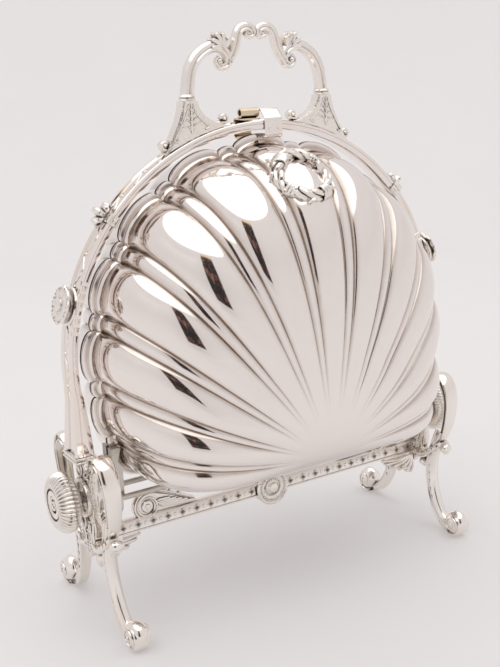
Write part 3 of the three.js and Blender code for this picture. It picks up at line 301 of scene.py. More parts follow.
def ball(at, radius, squash=(1, 1, 1), sides=12):
    rows = sides // 2
    wide, deep, tall = (radius * share for share in squash)
    verts = [Vector(at) + Vector((wide * x, deep * y, tall * cos(pi * row / rows)))
             for row in range(rows + 1) for x, y in circle(sin(pi * row / rows), steps=sides)]
    return verts, grid_faces(rows + 1, sides)


def silver(name, colour, roughness, recess_shade_and_tarnish=(0.1, 0.07, 0.05), recess=0.0, grain=1.0, chased=0.0):
    """Plated silver: clouds of faint tarnish, polishing scratches, painted shade and tarnish in its
    recesses, and chased texture.
    """
    finish = Finish(name)
    yellowed = [c * share for c, share in zip(colour, (0.97, 0.92, 0.82))]
    tint = finish.mixed(finish.mapped(finish.noise(38, 6), 0.45, 0.75, 0, 0.55), colour, yellowed)
    if recess:
        # Recesses are darkened by ambient occlusion: painted shade, with tarnish.
        hollow = finish.add("AmbientOcclusion", "AO", {"Distance": 2.2 * mm}, samples=6, only_local=True)
        tint = finish.mixed(finish.mapped(hollow, 0.35, 0.85, recess, 0), tint, recess_shade_and_tarnish)
    scratch = finish.noise(1, 4, finish.stretched((260, 900, 2600), (0.4, 0.7, 0.3)))
    normal = finish.bumped(scratch, 0.05 * grain, 0.02 * mm)
    if chased:
        cells = finish.add("TexVoronoi", "Distance", {"Vector": finish.place, "Scale": 880},
                           feature="SMOOTH_F1")
        swirl = finish.noise(420, 3, Distortion=2.5)
        normal = finish.bumped(finish.combined("ADD", cells, swirl), chased, 0.5 * mm, Normal=normal)
    return finish.shaded({
        "Metallic": 1, "Base Color": tint, "Normal": normal,
        "Roughness": finish.mapped(scratch, 0.3, 0.7, roughness * 0.75, roughness * 1.4),
    })


def make_piece(name, shape, body, slot, material, stands_for=(), **how):
    verts, faces = shape
    obj = new_object(name, [v * mm for v in verts], faces, **how)
    obj.data.materials.append(material)
    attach(obj, body)
    if stands_for:
        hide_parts(*stands_for)


silver_white = (0.89, 0.837, 0.81)
bright_silver = silver("bright_silver", silver_white, 0.07)
cast_silver = silver("cast_silver", (0.895, 0.85, 0.81), 0.19, recess=0.8, chased=0.12)
chased_silver = silver("chased_silver", (0.895, 0.85, 0.805), 0.22, recess=0.9, chased=0.34)

hoop_middle_z, hoop_radius, hoop_depth, hoop_foot_z = 131.2, 111.5, 11, 90
hoop_thickness, hoop_turn_in, flare_top_z = 4.6, radians(8), 124
hoop_mid_radius = hoop_radius - hoop_thickness / 2
foot_widening, foot_deepening = 1.16, 0.49


def on_hoop(turn, above=0, y=0):
    """A point on the hoop at an angle above the horizontal, some way above its outer edge."""
    reach = hoop_radius + above
    return Vector((reach * cos(turn), y, hoop_middle_z + reach * sin(turn)))


def hoop_line(steps=120, foot_steps=4):
    arc = [on_hoop(-hoop_turn_in + (pi + 2 * hoop_turn_in) * i / steps) for i in range(steps + 1)]
    foot = [Vector((arc[0].x, 0, hoop_foot_z + (arc[0].z - hoop_foot_z) * i / foot_steps))
            for i in range(foot_steps)]
    return foot + arc + [Vector((-p.x, 0, p.z)) for p in reversed(foot)]


def flared(shape):
    """The hoop's feet get wider and deeper towards the end plates."""
    out = []
    for v in shape[0]:
        share = max(0, (flare_top_z - v.z) / (flare_top_z - hoop_foot_z))
        rise = max(v.z - hoop_middle_z, -hoop_mid_radius * sin(hoop_turn_in))
        middle = sqrt(max(hoop_mid_radius ** 2 - rise ** 2, 0))
        x = middle + (abs(v.x) - middle) * (1 + foot_widening * share)
        out.append(Vector((copysign(x, v.x), v.y * (1 + foot_deepening * share), v.z)))
    return out, shape[1]


# sideways is towards the hoop's centre, the other number runs from the rear to the front
half = hoop_depth / 2
hoop_section = both_sides([
    (0.8, 0), (0.75, half - 2), (0.05, half - 1.5), (0, half - 0.4), (0.35, half), (1.5, half),
    (1.7, half - 0.35), (1.9, half), (3.9, half), (4.4, half - 0.3), (4.6, half - 0.9),
])
band = swept(hoop_line(), [(-a, b) for a, b in hoop_section])
rib_turn, rib_pitch, rib_count = radians(16.4), 4.0, 7
stud_turn, stud_pitch, stud_count, side_middle = radians(4), 2.6, 11, 2.9
side_work = []
for face in (-1, 1):
    for i in range(rib_count):
        turn = rib_turn + (i - rib_count // 2) * rib_pitch / hoop_mid_radius
        bar = [on_hoop(turn, -reach, face * half) for reach in (0.5, 1.7, side_middle, 4.1)]
        side_work.append(swept(bar, round_section(1.05, 0.55, 10)))
    for i in range(stud_count):
        turn = stud_turn - i * stud_pitch / hoop_mid_radius
        at = on_hoop(max(turn, -hoop_turn_in), -side_middle, face * half)
        if turn < -hoop_turn_in:
            at.z -= (-hoop_turn_in - turn) * hoop_mid_radius
        side_work.append(ball(at, 0.8, (1, 0.6, 1), 8))
details = side_work + [flipped(shape) for shape in side_work]
vine_start, vine_count, vine_sway, channel_depth = radians(-6), 46, 2.3, 0.75
vine_pitch = radians(192) / vine_count
for i in range(vine_count):
    turn = vine_start + vine_pitch * (i + 0.5)
    sway = 1 if i % 2 else -1
    vine = [on_hoop(turn + vine_pitch * (k / 6 - 0.5), -channel_depth, sway * vine_sway * sin(pi * k / 6))
            for k in range(7)]
    centre = on_hoop(turn, -channel_depth, sway * 0.4)
    leaf = [centre + (vine[3] - centre) * 0.2, centre + (vine[2] - centre) * 0.7, vine[1]]
    outwards = on_hoop(turn, 1) - on_hoop(turn)
    details += [tube(vine, 0.5, 2, 6, (0.8, 0.8), outwards), tube(leaf, 0.55, 3, 6, (1.2, 0.2), outwards)]
make_piece("hoop", flared(band), "stand", "polished_silver", bright_silver, ["arch_bow"])
make_piece("hoop_chasing", flared(joined(*details)), "stand", "cast_silver", cast_silver)

# Carrying handle: cast in one with two moulded arms that rise and curl in, a leaf on each shoulder, and
# necks that meet in two small curls at the middle. Its collars stand on leafy sockets on the hoop.

half_span, foot_z, top_z, handle_thickness = 39.5, 254, 290, 3.15


def on_handle(x, z):
    """A place on the handle from its shares of the half span and of the height."""
    return x * half_span, 0, foot_z + z * (top_z - foot_z)


def handle_bar(shares, per, thick, thin):
    """A moulded bar: a ridge along its outer side, a groove along each face, a round inner side."""
    moulding = both_sides([(-0.9, 0), (-1, 0.55), (-0.75, 0.9), (-0.35, 1), (-0.1, 0.8), (0.15, 0.98),
                           (0.6, 0.85), (0.95, 0.4), (1.02, 0)])
    section = [(a * handle_thickness, b * handle_thickness) for a, b in moulding]
    line = spline([on_handle(*share) for share in shares], per)
    return swept(line, section, lambda t: thick + (thin - thick) * t * t)


def make_pair(node, ending, shape, material=cast_silver):
    """A casting at the right end of the box and its mirror image at the left end."""
    for side, one in (("right", shape), ("left", flipped(shape))):
        make_piece(f"{node}_{side}_{ending}", one, "stand", "cast_silver", material, [f"{node}_{side}"])


arm_shares = [
    (1, 0.04), (0.985, 0.19), (0.95, 0.375), (0.875, 0.52), (0.76, 0.625), (0.62, 0.685),
    (0.495, 0.655), (0.41, 0.555), (0.43, 0.445), (0.52, 0.42), (0.57, 0.49), (0.53, 0.54),
]
neck_shares = [
    (0.405, 0.5), (0.345, 0.6), (0.3, 0.71), (0.275, 0.82), (0.222, 0.905),
    (0.14, 0.936), (0.068, 0.915), (0.038, 0.865), (0.072, 0.82), (0.128, 0.835), (0.122, 0.875),
]
parts = [
    handle_bar(arm_shares, 7, 1, 0.4),
    handle_bar(neck_shares, 6, 0.8, 0.46),
    ball(on_handle(0.53, 0.485), 1.9, (1, 1.25, 1)),
    ball(on_handle(0.115, 0.865), 1.3, (1, 1.25, 1)),
]
shoulder = Vector((18.8, 0, on_handle(0, 0.64)[2]))
for lean, length in ((-0.7, 6), (-0.3, 7.6), (0.1, 8.4), (0.5, 7.4), (0.95, 6)):
    tip = shoulder + Vector((sin(0.35 + lean), 0, cos(0.35 + lean))) * length
    for face in (-1, 0, 1):
        bend = shoulder + (tip - shoulder) * 0.55 + Vector((0, face * 1.6, 0.3))
        curl = tip + Vector((0.5, face * 2.3, -0.4))
        parts += [tube([shoulder, bend, curl], 1.6, 4, 8, (1.2, 0.75)), ball(curl, 1.25, (1, 1, 0.9), 8)]
collar = lathe_grid([(0.01, 0), (4.1, 0), (4.4, 0.5), (3.7, 1.1), (4.2, 1.8), (3.4, 2.6), (2.4, 3.1),
                     (0.01, 3.2)], 20)
handle_side = joined(*parts, shifted(collar, half_span, 0, foot_z))
handle_silver = silver("handle_silver", (0.895, 0.85, 0.815), 0.15, recess=0.7, chased=0.05)
make_piece("handle", joined(handle_side, flipped(handle_side)), "stand", "cast_silver", handle_silver,
           ["carrying_handle"])

socket_outer_x, socket_inner_x, socket_half_depth, socket_neck = 54, 19.5, 3.8, 4.3
solder_gap = 0.3


def hoop_top(x, above):
    return hoop_middle_z + sqrt((hoop_radius + above) ** 2 - x * x)


def on_socket(x, y, drop):
    """A point on the socket: drop runs from 0 at the handle's foot to 1 on the hoop."""
    low = hoop_top(x, solder_gap)
    return x, y, low + (foot_z - solder_gap - low) * (1 - drop)


def socket_body(rows=16, columns=13):
    verts = []
    for r in range(rows + 1):
        pinch = (1 - r / rows) ** 1.9
        left = half_span - socket_neck - (half_span - socket_neck - socket_inner_x) * pinch
        width = half_span + socket_neck + (socket_outer_x - half_span - socket_neck) * pinch - left
        front = []
        for c in range(columns):
            share = c / (columns - 1)
            swell = 0.75 + 0.25 * sqrt(max(0, 1 - abs(2 * share - 1) ** 4))
            front.append(Vector(on_socket(left + width * share, -socket_half_depth * swell, 1 - r / rows)))
        verts += front + [Vector((v.x, -v.y, v.z)) for v in reversed(front)]
    sides = 2 * columns
    faces = grid_faces(rows + 1, sides)
    for a in (0, rows * sides):
        faces += [(a + c, a + c + 1, a + sides - 2 - c, a + sides - 1 - c) for c in range(columns - 1)]
    return verts, faces


parts = [socket_body()]
for face in (-1, 1):
    y = face * socket_half_depth
    for lean in (-1, 1):
        scroll = [on_socket(half_span + lean * out, y, drop) for out, drop in (
            (1.2, 0.08), (2.6, 0.33), (5.2, 0.55), (8, 0.74), (9.6, 0.84), (7.4, 0.88))]
        parts.append(tube(scroll, 0.55, 5, 7, (0.7, 1)))
        for k in range(4):
            drop = 0.16 + k * 0.165
            stem = [on_socket(half_span, y, drop + 0.1), on_socket(half_span + lean * 1.6, y * 1.04, drop),
                    on_socket(half_span + lean * (2.2 + k * 0.9), y, drop - 0.04)]
            parts.append(tube(stem, 0.42, 4, 6, (1.2, 0.4)))
    midrib = [on_socket(half_span, y * bulge, drop) for bulge, drop in ((1, 0.05), (1.05, 0.38), (1, 0.85))]
    parts += [tube(midrib, 0.55, 4, 7, (0.7, 1.2)), ball(on_socket(half_span, y, 0.72), 1.4, (1, 0.5, 1))]
for x, lean in ((socket_outer_x - 1, 1), (socket_inner_x + 1, -1)):
    z = hoop_top(x, 3.2)
    curl = [(x + lean * out, 0, z + rise) for out, rise in (
        (-5.5, -0.4 if lean > 0 else -2.2), (-2.4, -1.6), (1.2, -1.2), (1.9, 0.9), (0.2, 2.1),
        (-1.2, 0.9), (-0.2, 0.1))]
    parts.append(tube(curl, 1.15, 5, 10, (1, 0.65), deep=2.7, fullness=3))
    parts.append(ball((x + lean * 0.3, 0, z + 0.5), 1.5, (1, 2.1, 1)))
make_pair("handle_socket", "leaf", joined(*parts), chased_silver)

# Ears and rosettes: small castings on the hoop. An ear is a three-lobed leaf on a strap round the hoop, and
# a rosette is a button with petals that stands off its flange.

ear_turn = radians(39.7)


def stand_on_hoop(shape, turn):
    """Turns a shape made upright at height 0 so that it stands on the hoop's outer edge."""
    place = Matrix.Translation((0, 0, hoop_middle_z)) @ Matrix.Rotation(pi / 2 - turn, 4, "Y")
    return moved(shape, place @ Matrix.Translation((0, 0, hoop_radius)))


parts = []
for lean, height, wide in ((-1, 4.032, 1.5), (0, 6.4, 1.8), (1, 4.032, 1.5)):
    root, tip = Vector((lean * 0.8, 0, 0.6)), Vector((lean * 4.6, 0, height))
    line = [root, root.lerp(tip, 0.5) + Vector((lean * 0.6, 0, 0.4)), tip]
    parts.append(swept(spline(line, 5), round_section(wide, 3.2, 12, 2.6),
                       lambda t: 0.6 + 0.5 * sin(pi * min(1, t * 1.1)) ** 0.6))
    parts.append(ball(tip - Vector((0, 0, wide * 0.5)), wide * 1.05, (1, 1.9, 1)))
pad = [Vector((x, 0, z)) for x, z in ((-6, 0.8), (-3, 1.3), (3, 1.3), (6, 0.8))]
parts.append(swept(pad, [(b, a) for a, b in round_section(3.3, 0.8, 12, 3)]))
outer, inner, strap_top, strap_low, strap_half_width = 6.7, 5.8, 1.2, -4.9, 2.5
strap = [(outer, strap_top), (outer, strap_low), (inner, strap_low), (inner, 0.3), (-inner, 0.3),
         (-inner, strap_low), (-outer, strap_low), (-outer, strap_top)]
verts = [Vector((x, y, z)) for x in (-strap_half_width, strap_half_width) for y, z in strap]
count = len(strap)
faces = grid_faces(2, count)
for start in (0, count):
    faces += [tuple(start + k for k in corners) for corners in ((0, 1, 2, 3), (0, 3, 4, 7), (4, 5, 6, 7))]
parts.append((verts, faces))
for face in (-1, 1):
    for z in (-0.6, -3.9):
        edge = [Vector((-2.7, face * outer, z)), Vector((2.7, face * outer, z))]
        parts.append(swept(edge, round_section(0.6, 0.5, 8)))
    parts.append(ball((0, face * outer, -2.2), 1.3, (1, 0.5, 1)))
make_pair("arch_ear", "leaf", stand_on_hoop(joined(*parts), ear_turn))


def petalled(profile, sides, petals, depth_at):
    """A turned shape whose radius and height swell and sink round the turn."""
    verts, faces = lathe_grid(profile, sides)
    out = []
    for v in verts:
        grow, lift = depth_at(hypot(v.x, v.y), cos(petals * atan2(v.y, v.x)))
        out.append(Vector((v.x * grow, v.y * grow, v.z + lift)))
    return out, faces


def petal(radius, wave):
    share = max(0, radius - 3.4) / 6.1
    return 1 + 0.035 * wave * share, 0.35 * wave * sin(pi * min(1, share)) if share else 0


flange = lathe_grid([(0.01, 0.3), (9.3, 0.3), (9.5, 0.8), (9.2, 1.5), (8.2, 1.8), (5, 1.3), (3.4, 1.3),
                     (2.8, 1.8), (2.6, 3.2), (2.8, 3.8)], 40)
face = petalled([(2.8, 3.5), (8.2, 3.5), (9.1, 3.9), (9.4, 4.5), (9.0, 5.1), (8.1, 5.3), (7.6, 5.0),
                 (6.6, 5.35), (5, 5.5), (3.8, 5.1), (3.3, 5.3), (3.1, 6.0), (2.2, 6.5), (0.01, 6.7)],
                64, 8, petal)
beads = [ball((x, y, 5.2), 0.62, (1, 1, 0.8), 8) for x, y in circle(8.3, steps=24)]
make_pair("rosette", "flower", stand_on_hoop(joined(flange, face, *beads), rib_turn))

# Shell halves: sheet metal raised into two deep scallops. Thirteen swelling flutes fan out from the bottom
# with a narrow reed in each crease, end in a cove, and the flat lip outside it follows their scallops.

shell_radius, shell_rise, shell_middle_z, shell_low = 96.5, 99.4, 129, 62
dome_depth, cove_height, lip_face, lip_back, shell_wall = 61.5, 3.2, -1.65, -0.75, 0.7
fan_z, flute_count, flute_pitch = 76, 13, radians(14.5)
flute_swell, reed_swell, reed_share, cove_share = 5.0, 1.9, 0.24, 0.026
fan_half = flute_count * flute_pitch / 2
corner_turn = radians(132)
# How much painted shade and tarnish the reeds, the cove and the inside get, and how wide it spreads from
# each crease.
crease_shade_width, reed_shade_and_tarnish, cove_shade_and_tarnish, inner_shade_and_tarnish = 0.1, 0.76, 0.7, 0.3
flute_steps, reed_steps, corner_steps, floor_steps = 16, 7, 24, 40
dome_rows, cove_rows, inner_rows = 56, 8, 24


def smooth(value, low, high):
    t = min(max((value - low) / (high - low), 0), 1)
    return t * t * (3 - 2 * t)


def lowness(x, rise):
    length = hypot(x, rise)
    return smooth(-rise / length, 0, 1) if length else 0


def outline_share(x, z):
    """How far out a place lies: 1 on the outline that the flutes swell from."""
    rise = z - shell_middle_z
    if rise >= 0:
        return hypot(x / shell_radius, rise / shell_rise)
    power = 2 + 3.5 * lowness(x, rise)
    return ((abs(x) / shell_radius) ** power + (-rise / shell_low) ** power) ** (1 / power)


def furthest(low, high, steps, is_inside):
    """The largest value that is still inside, found by halving."""
    for _ in range(steps):
        middle = (low + high) / 2
        low, high = (middle, high) if is_inside(middle) else (low, middle)
    return low


def outline_reach(turn):
    return furthest(0, 2 * shell_radius, 40,
                    lambda reach: outline_share(reach * sin(turn), fan_z + reach * cos(turn)) < 1)


def off_flute(turn):
    """How far an angle lies from its flute's middle: 1 in the middle of the next reed."""
    turn = abs(turn) / flute_pitch
    return abs(turn - round(turn)) * 2


def flute_height(turn):
    if abs(turn) > fan_half:
        return flute_swell * 0.2
    off, edge = off_flute(turn), 1 - reed_share
    if off <= edge:
        return flute_swell * sqrt(1 - (off / edge) ** 2)
    return reed_swell * sqrt(1 - ((1 - off) / reed_share) ** 2)


def flute_point(turn, share, reach):
    """A point on the dome: share runs from 0 at the fan's root to 1 where the cove starts."""
    x, z = reach * share * sin(turn), fan_z + reach * share * cos(turn)
    power = 2.5 + 2.1 * lowness(x, z - shell_middle_z)
    left = max(1 - outline_share(x, z) ** power, 0) ** (1 / power)
    grow = 1 + flute_height(turn) * smooth(share, 0.13, 0.8) / shell_radius
    depth = (dome_depth - cove_height) * left * grow + cove_height
    spread = grow * (1 - cove_share)
    return Vector((x * spread, lip_face - depth, shell_middle_z + (z - shell_middle_z) * spread))


def rim_point(turn, reach, beyond=0.0, y=lip_face):
    grow = 1 + flute_height(turn) / shell_radius
    x, rise = reach * sin(turn), fan_z - shell_middle_z + reach * cos(turn)
    out = Vector((x, 0, rise)).normalized()
    return Vector((x * grow, y, shell_middle_z + rise * grow)) + out * beyond * (1 - 0.6 * lowness(x, rise))


def fan_columns():
    """The angles of the shell's columns, from the leftmost flute round over the top and the floor."""
    turns = []
    half_flute = flute_pitch * (1 - reed_share) / 2

    def split(start, end, steps, round_off=False):
        for i in range(steps):
            t = (1 - cos(pi * i / steps)) / 2 if round_off else i / steps
            turns.append(start + (end - start) * t)
    for i in range(flute_count):
        middle = (i - (flute_count - 1) / 2) * flute_pitch
        split(middle - half_flute, middle + half_flute, flute_steps, True)
        if i < flute_count - 1:
            split(middle + half_flute, middle + flute_pitch - half_flute, reed_steps, True)
    last = fan_half - flute_pitch / 2 + half_flute
    split(last, corner_turn, corner_steps)
    split(corner_turn, 2 * pi - corner_turn, floor_steps)
    split(2 * pi - corner_turn, 2 * pi - last, corner_steps)
    return [t if t <= pi else t - 2 * pi for t in turns]


def make_shell():
    """The front shell, and how much painted shade and tarnish each of its points takes: in a crease, in the
    cove, inside.
    """
    columns = [(turn, outline_reach(turn)) for turn in fan_columns()]
    verts, crease = [], []

    def add_row(maker, shade=lambda t: 0.0):
        verts.extend(maker(turn, reach) for turn, reach in columns)
        crease.extend(shade(turn) for turn, reach in columns)

    def in_crease(turn):
        if abs(turn) > fan_half:
            return 0.0
        return exp(-((off_flute(turn) - (1 - reed_share)) / crease_shade_width) ** 2)
    for i in range(dome_rows + 1):
        share = sin(pi / 2 * i / dome_rows)
        fade = smooth(share, 0.15, 0.5)
        add_row(lambda t, r: flute_point(t, share, r), lambda t: reed_shade_and_tarnish * in_crease(t) * fade)
    for i in range(1, cove_rows + 1):
        swing = pi / 2 * i / cove_rows

        def cove(t, r):
            point = flute_point(t, 1, r).lerp(rim_point(t, r), 1 - cos(swing))
            return Vector((point.x, lip_face - cove_height * (1 - sin(swing)), point.z))
        add_row(cove, lambda t: cove_shade_and_tarnish + 0.25 * in_crease(t))
    for beyond, y in ((1.6, lip_face), (2.3, lip_face + 0.05), (2.5, lip_face + 0.3), (2.5, lip_back),
                      (0.2, lip_back)):
        add_row(lambda t, r: rim_point(t, r, beyond, y))
    shrink = 1 - shell_wall / dome_depth
    for i in range(inner_rows + 1):
        share = cos(pi / 2 * i / inner_rows)

        def inner(t, r):
            point = flute_point(t, share, r)
            return Vector((point.x * shrink, (point.y - lip_face) * shrink + lip_face + 0.3,
                           shell_middle_z + (point.z - shell_middle_z) * shrink))
        add_row(inner, lambda t: inner_shade_and_tarnish)
    return (verts, grid_faces(len(verts) // len(columns), len(columns))), crease


def shell_silver():
    """Bright plate, made darker and browner along its creases, in the cove and inside: painted shade and
    tarnish.
    """
    finish = Finish("shell_silver")
    mark = finish.add("Attribute", "Fac", {}, attribute_name="crease")
    patchy = finish.mapped(finish.noise(26, 7, Roughness=0.6), 0.3, 0.6, 0.55, 1.25)
    shade_and_tarnish = finish.combined("MULTIPLY", mark, patchy, use_clamp=True)
    hairs = [finish.noise(1, 3, finish.stretched(scale, (turn, turn * 0.6, turn * 0.3)))
             for turn, scale in ((0.5, (90, 1500, 1500)), (1.9, (1300, 80, 1300)))]
    scratched = finish.mapped(finish.combined("MULTIPLY", *hairs), 0.1, 0.45, 0.03, 0.11)
    return finish.shaded({
        "Metallic": 1, "Base Color": finish.mixed(shade_and_tarnish, silver_white, (0.5, 0.42, 0.36)),
        "Roughness": finish.combined("MULTIPLY_ADD", shade_and_tarnish, 0.16, scratched),
        "Normal": finish.bumped(finish.noise(70, 2), 0.12, 0.03 * mm),
    })


shell_finish = shell_silver()
shell, shell_shade_and_tarnish = make_shell()
for side, shape in (("front", shell), ("rear", flipped(shell, 1))):
    make_piece(f"{side}_shell_raised", shape, f"{side}_half", "polished_silver", shell_finish,
               [f"{side}_shell"], sharp=radians(50), marks=shell_shade_and_tarnish)

# Hinge: each half turns on its own rod through the end plates. Toothed plates riveted inside the shell's
# lower corners mesh at the middle, so that both halves open together.


def refinish(material, *names):
    """Gives another finish to solids that stay as they are."""
    for name in names:
        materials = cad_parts[name].data.materials
        materials.clear()
        materials.append(material)


hinge_metal = silver("hinge_metal", (0.62, 0.59, 0.55), 0.3, recess=0.85, grain=3)
refinish(hinge_metal, "front_sector_left", "front_sector_right", "rear_sector_left", "rear_sector_right",
         "front_grille_pin", "rear_grille_pin")
pivot_y, pivot_z = 8, 64


def turned_bar(profile, start, direction=along_x, sides=24):
    """A lathe-turned shape of (radius, height) pairs that starts at a point and runs along a direction."""
    turn = Vector((0, 0, 1)).rotation_difference(Vector(direction)).to_matrix().to_4x4()
    return moved(lathe_grid(profile, sides), Matrix.Translation(start) @ turn)


for name, y in (("front_pivot_rod", -pivot_y), ("rear_pivot_rod", pivot_y)):
    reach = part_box(name)[1].x / mm
    rod = both_sides([(0.01, 0), (1.2, 0), (1.5, 0.4)], reach * 2)
    make_piece(name + "_turned", turned_bar(rod, (-reach, y, pivot_z), sides=20), "stand", "worn_steel",
               hinge_metal, [name])

# End plates: cast and chased shields that stand on edge between the legs. A cap on top carries the hoop, a
# ring boss outside carries the snail knob, and two eyes are pierced below it.

end_x, plate_half, boss_z, eye_heights = 105.465, 2.0, 66, (50.5, 44.5)
shield_half, shield_low, shield_high = 9.4, 33, 86
shield_shares = [
    (0.62, 1), (1, 0.89), (0.94, 0.76), (1.04, 0.62), (0.98, 0.5), (1.16, 0.4), (1.1, 0.27),
    (0.78, 0.22), (0.66, 0.1), (0.3, 0.06), (0, 0),
]


def outline_plate(outline, half_depth, edge, holes=()):
    """A plate with rounded edges from an outline of (x, z) pairs, with its thickness along Y."""
    curve = bpy.data.curves.new("outline", "CURVE")
    curve.dimensions = "2D"
    curve.fill_mode = "BOTH"
    curve.extrude = half_depth - edge
    curve.bevel_depth = edge
    curve.bevel_resolution = 3
    curve.offset = -edge
    for loop in (outline, *holes):
        path = curve.splines.new("POLY")
        path.points.add(len(loop) - 1)
        for point, pair in zip(path.points, loop):
            point.co = (*pair, 0, 1)
        path.use_cyclic_u = True
    holder = added("outline", curve)
    bpy.context.view_layer.update()
    mesh = bpy.data.meshes.new_from_object(holder.evaluated_get(bpy.context.evaluated_depsgraph_get()))
    upright = [Vector((v.co.x, -v.co.z, v.co.y)) for v in mesh.vertices]
    shape = upright, [tuple(p.vertices) for p in mesh.polygons]
    bpy.data.objects.remove(holder)
    bpy.data.curves.remove(curve)
    bpy.data.meshes.remove(mesh)
    return shape


def leaf_spray(root, tips, face_x, thick=0.8):
    """Chased acanthus lobes on a face that looks along X."""
    parts = []
    start = Vector((face_x, *root))
    for y, z, bend in tips:
        tip = Vector((face_x, y, z))
        aside = Vector((0.3, -(tip.z - start.z) * bend, (tip.y - start.y) * bend))
        parts.append(tube([start, start.lerp(tip, 0.55) + aside, tip], thick, 5, 7, (0.5, 0.9), along_x))
        parts.append(ball(tip, thick * 1.25, (0.6, 1, 1), 8))
    return parts


right = [(y * shield_half, shield_low + z * (shield_high - shield_low)) for y, z in shield_shares]
outline = [(u, v, 0) for u, v in right + [(-y, z) for y, z in reversed(right[:-1])]]
eyes = [circle(1.6, (0, z)) for z in eye_heights]
shield = outline_plate([(p.x, p.y) for p in spline(outline, 4, True)], plate_half, 0.5, eyes)
neck = outline_plate([(-5.5, 84), (5.5, 84), (5.5, 88.5), (-5.5, 88.5)], plate_half, 0.3)
cap_verts = []
cap_near, cap_far, cap_half = 102.573, 113.515, 8.7
cap_section = ((8.4, 86.3), (cap_half, 86.6), (cap_half, 87.2), (8, 87.9), (cap_half, 88.6),
               (cap_half, 89.4), (8.4, 89.7))
for reach, z in cap_section:
    near, far = cap_near + cap_half - reach, cap_far - cap_half + reach
    corners = ((near, -reach), (far, -reach), (far, reach), (near, reach))
    cap_verts += [Vector((*corner, z)) for corner in corners]
ends = [tuple(range(4)), tuple(range(len(cap_verts) - 4, len(cap_verts)))]
cap = cap_verts, ends + grid_faces(len(cap_section), 4)
face = end_x + plate_half
boss = [(0.01, -1), (10, -1), (10.1, 1.2), (9.7, 2.2), (8.9, 2.6), (8.1, 2.3), (7.6, 1.5), (7.4, 0.4),
        (0.01, 0.4)]
raised = [turned_bar(boss, (face, 0, boss_z), sides=48)]
for side in (-1, 1):
    for root, tips, *thick in (
            ((1.5, 76.5), ((6.6, 80.5, 0.3), (7.6, 77, -0.2), (3, 83.5, 0.3))),
            ((1.2, 41), ((6.5, 45, 0.25), (8.4, 49.5, 0.3), (8.8, 54.5, 0.2), (4.2, 38.5, -0.2))),
            ((1, 57), ((5.5, 54.5, 0.3), (4, 47.5, -0.3)), 0.65)):
        spread = [(side * y, z, bend) for y, z, bend in tips]
        raised += leaf_spray((side * root[0], root[1]), spread, face, *thick)
    for line, thick, end in (
            (((0, 1.2, 40), (0.3, 3.2, 37.6), (0, 4.9, 38.6)), 0.7, 0.7),
            (((0, 2.6, 84), (0.4, 5.4, 85.6), (0, 8.4, 82.6), (0, 7.2, 79.6), (0, 5.4, 81)), 0.8, 0.6)):
        raised.append(tube([(face + x, side * y, z) for x, y, z in line], thick, 5, 7, (1, end), along_x))
for z in eye_heights:
    ring = [(face, y, up_z) for y, up_z in circle(2.1, (0, z), 10)]
    raised.append(tube(ring, 0.45, 2, 6, (1, 1), along_x, True))
raised += leaf_spray((0, 36), [(0, 40.5, 0)], face, 0.9)
inner = shifted(flipped(joined(*raised)), 2 * end_x)
verts, faces = joined(shield, neck)
plate = [Vector((end_x - v.y, v.x, v.z)) for v in verts], faces
make_pair("end_plate", "chased", joined(plate, cap, *raised, inner), chased_silver)

# Legs: cast scrolls. A broad polished band bulges out from the end plate like a C, a slanted collar with a
# ball at each end holds it, and the shank bends back out to a rolled foot.

band_shares = [(0.3, 0.955), (0.42, 0.935), (0.53, 0.985), (0.74, 1), (0.92, 0.945), (1, 0.85), (0.97, 0.72),
               (0.86, 0.61), (0.7, 0.53)]
shank_shares = [(0.62, 1.2), (0.545, 1.06), (0.46, 0.85), (0.445, 0.65), (0.49, 0.46), (0.585, 0.28),
                (0.72, 0.14), (0.87, 0.068), (0.97, 0.055)]
bulge_y, leg_top_z, foot_y, collar_z = 31, 92, 41, 50
leg_lean, leg_lean_z, foot_roll_z, foot_ball = 0.045, 75, 7.95, 7.35


def spiral(start, sweep, steps, radius, shrink, power=1):
    """(u, v) pairs along a spiral of so many degrees that loses a share of its radius."""
    out = []
    for i in range(steps + 1):
        turn = radians(start + sweep * i / steps)
        reach = radius * (1 - shrink * (i / steps) ** power)
        out.append((reach * cos(turn), reach * sin(turn)))
    return out


def at_end(pairs, y=0.0, z=0.0, x=0.0):
    """Places (y, z) pairs on the plane of the end plate and its legs."""
    return [(end_x + x, y + u, z + v) for u, v in pairs]


crowned = both_sides([(1.85, 0), (1.7, 2), (1.35, 3.6), (0.9, 4.3), (0.5, 4.4), (0.3, 4.1), (0.1, 3),
                      (-1.5, 3), (-1.75, 4.1), (-1.95, 4.4), (-2.25, 4.2), (-2.3, 3.4), (-1.8, 2.2)])
ridged = both_sides([(3.1, 0), (2.9, 1.1), (2.3, 2.2), (1.75, 2.5), (1.4, 3.1), (1.0, 3.3), (0.6, 2.8),
                     (-1.6, 2.8), (-2.0, 3.3), (-2.6, 3.3), (-3.0, 2.7), (-2.8, 1.8), (-2.3, 0.9)])
band = at_end([(y * bulge_y, z * leg_top_z) for y, z in band_shares])
shank = at_end([(y * foot_y, z * collar_z) for y, z in shank_shares])
volute = (12.6, 85.8)
curl = at_end(spiral(70, 430, 14, 3.6, 0.62), *volute)
collar = at_end([(7.2, 42.5), (12, 41.5), (19, 46.5), (26.5, 52)])
roll = at_end(spiral(-125, 500, 24, 7.1, 0.78, 0.9), foot_y, foot_roll_z)
disc = both_sides([(0.01, -3.2), (3.2, -3.2), (3.4, -2.9)])
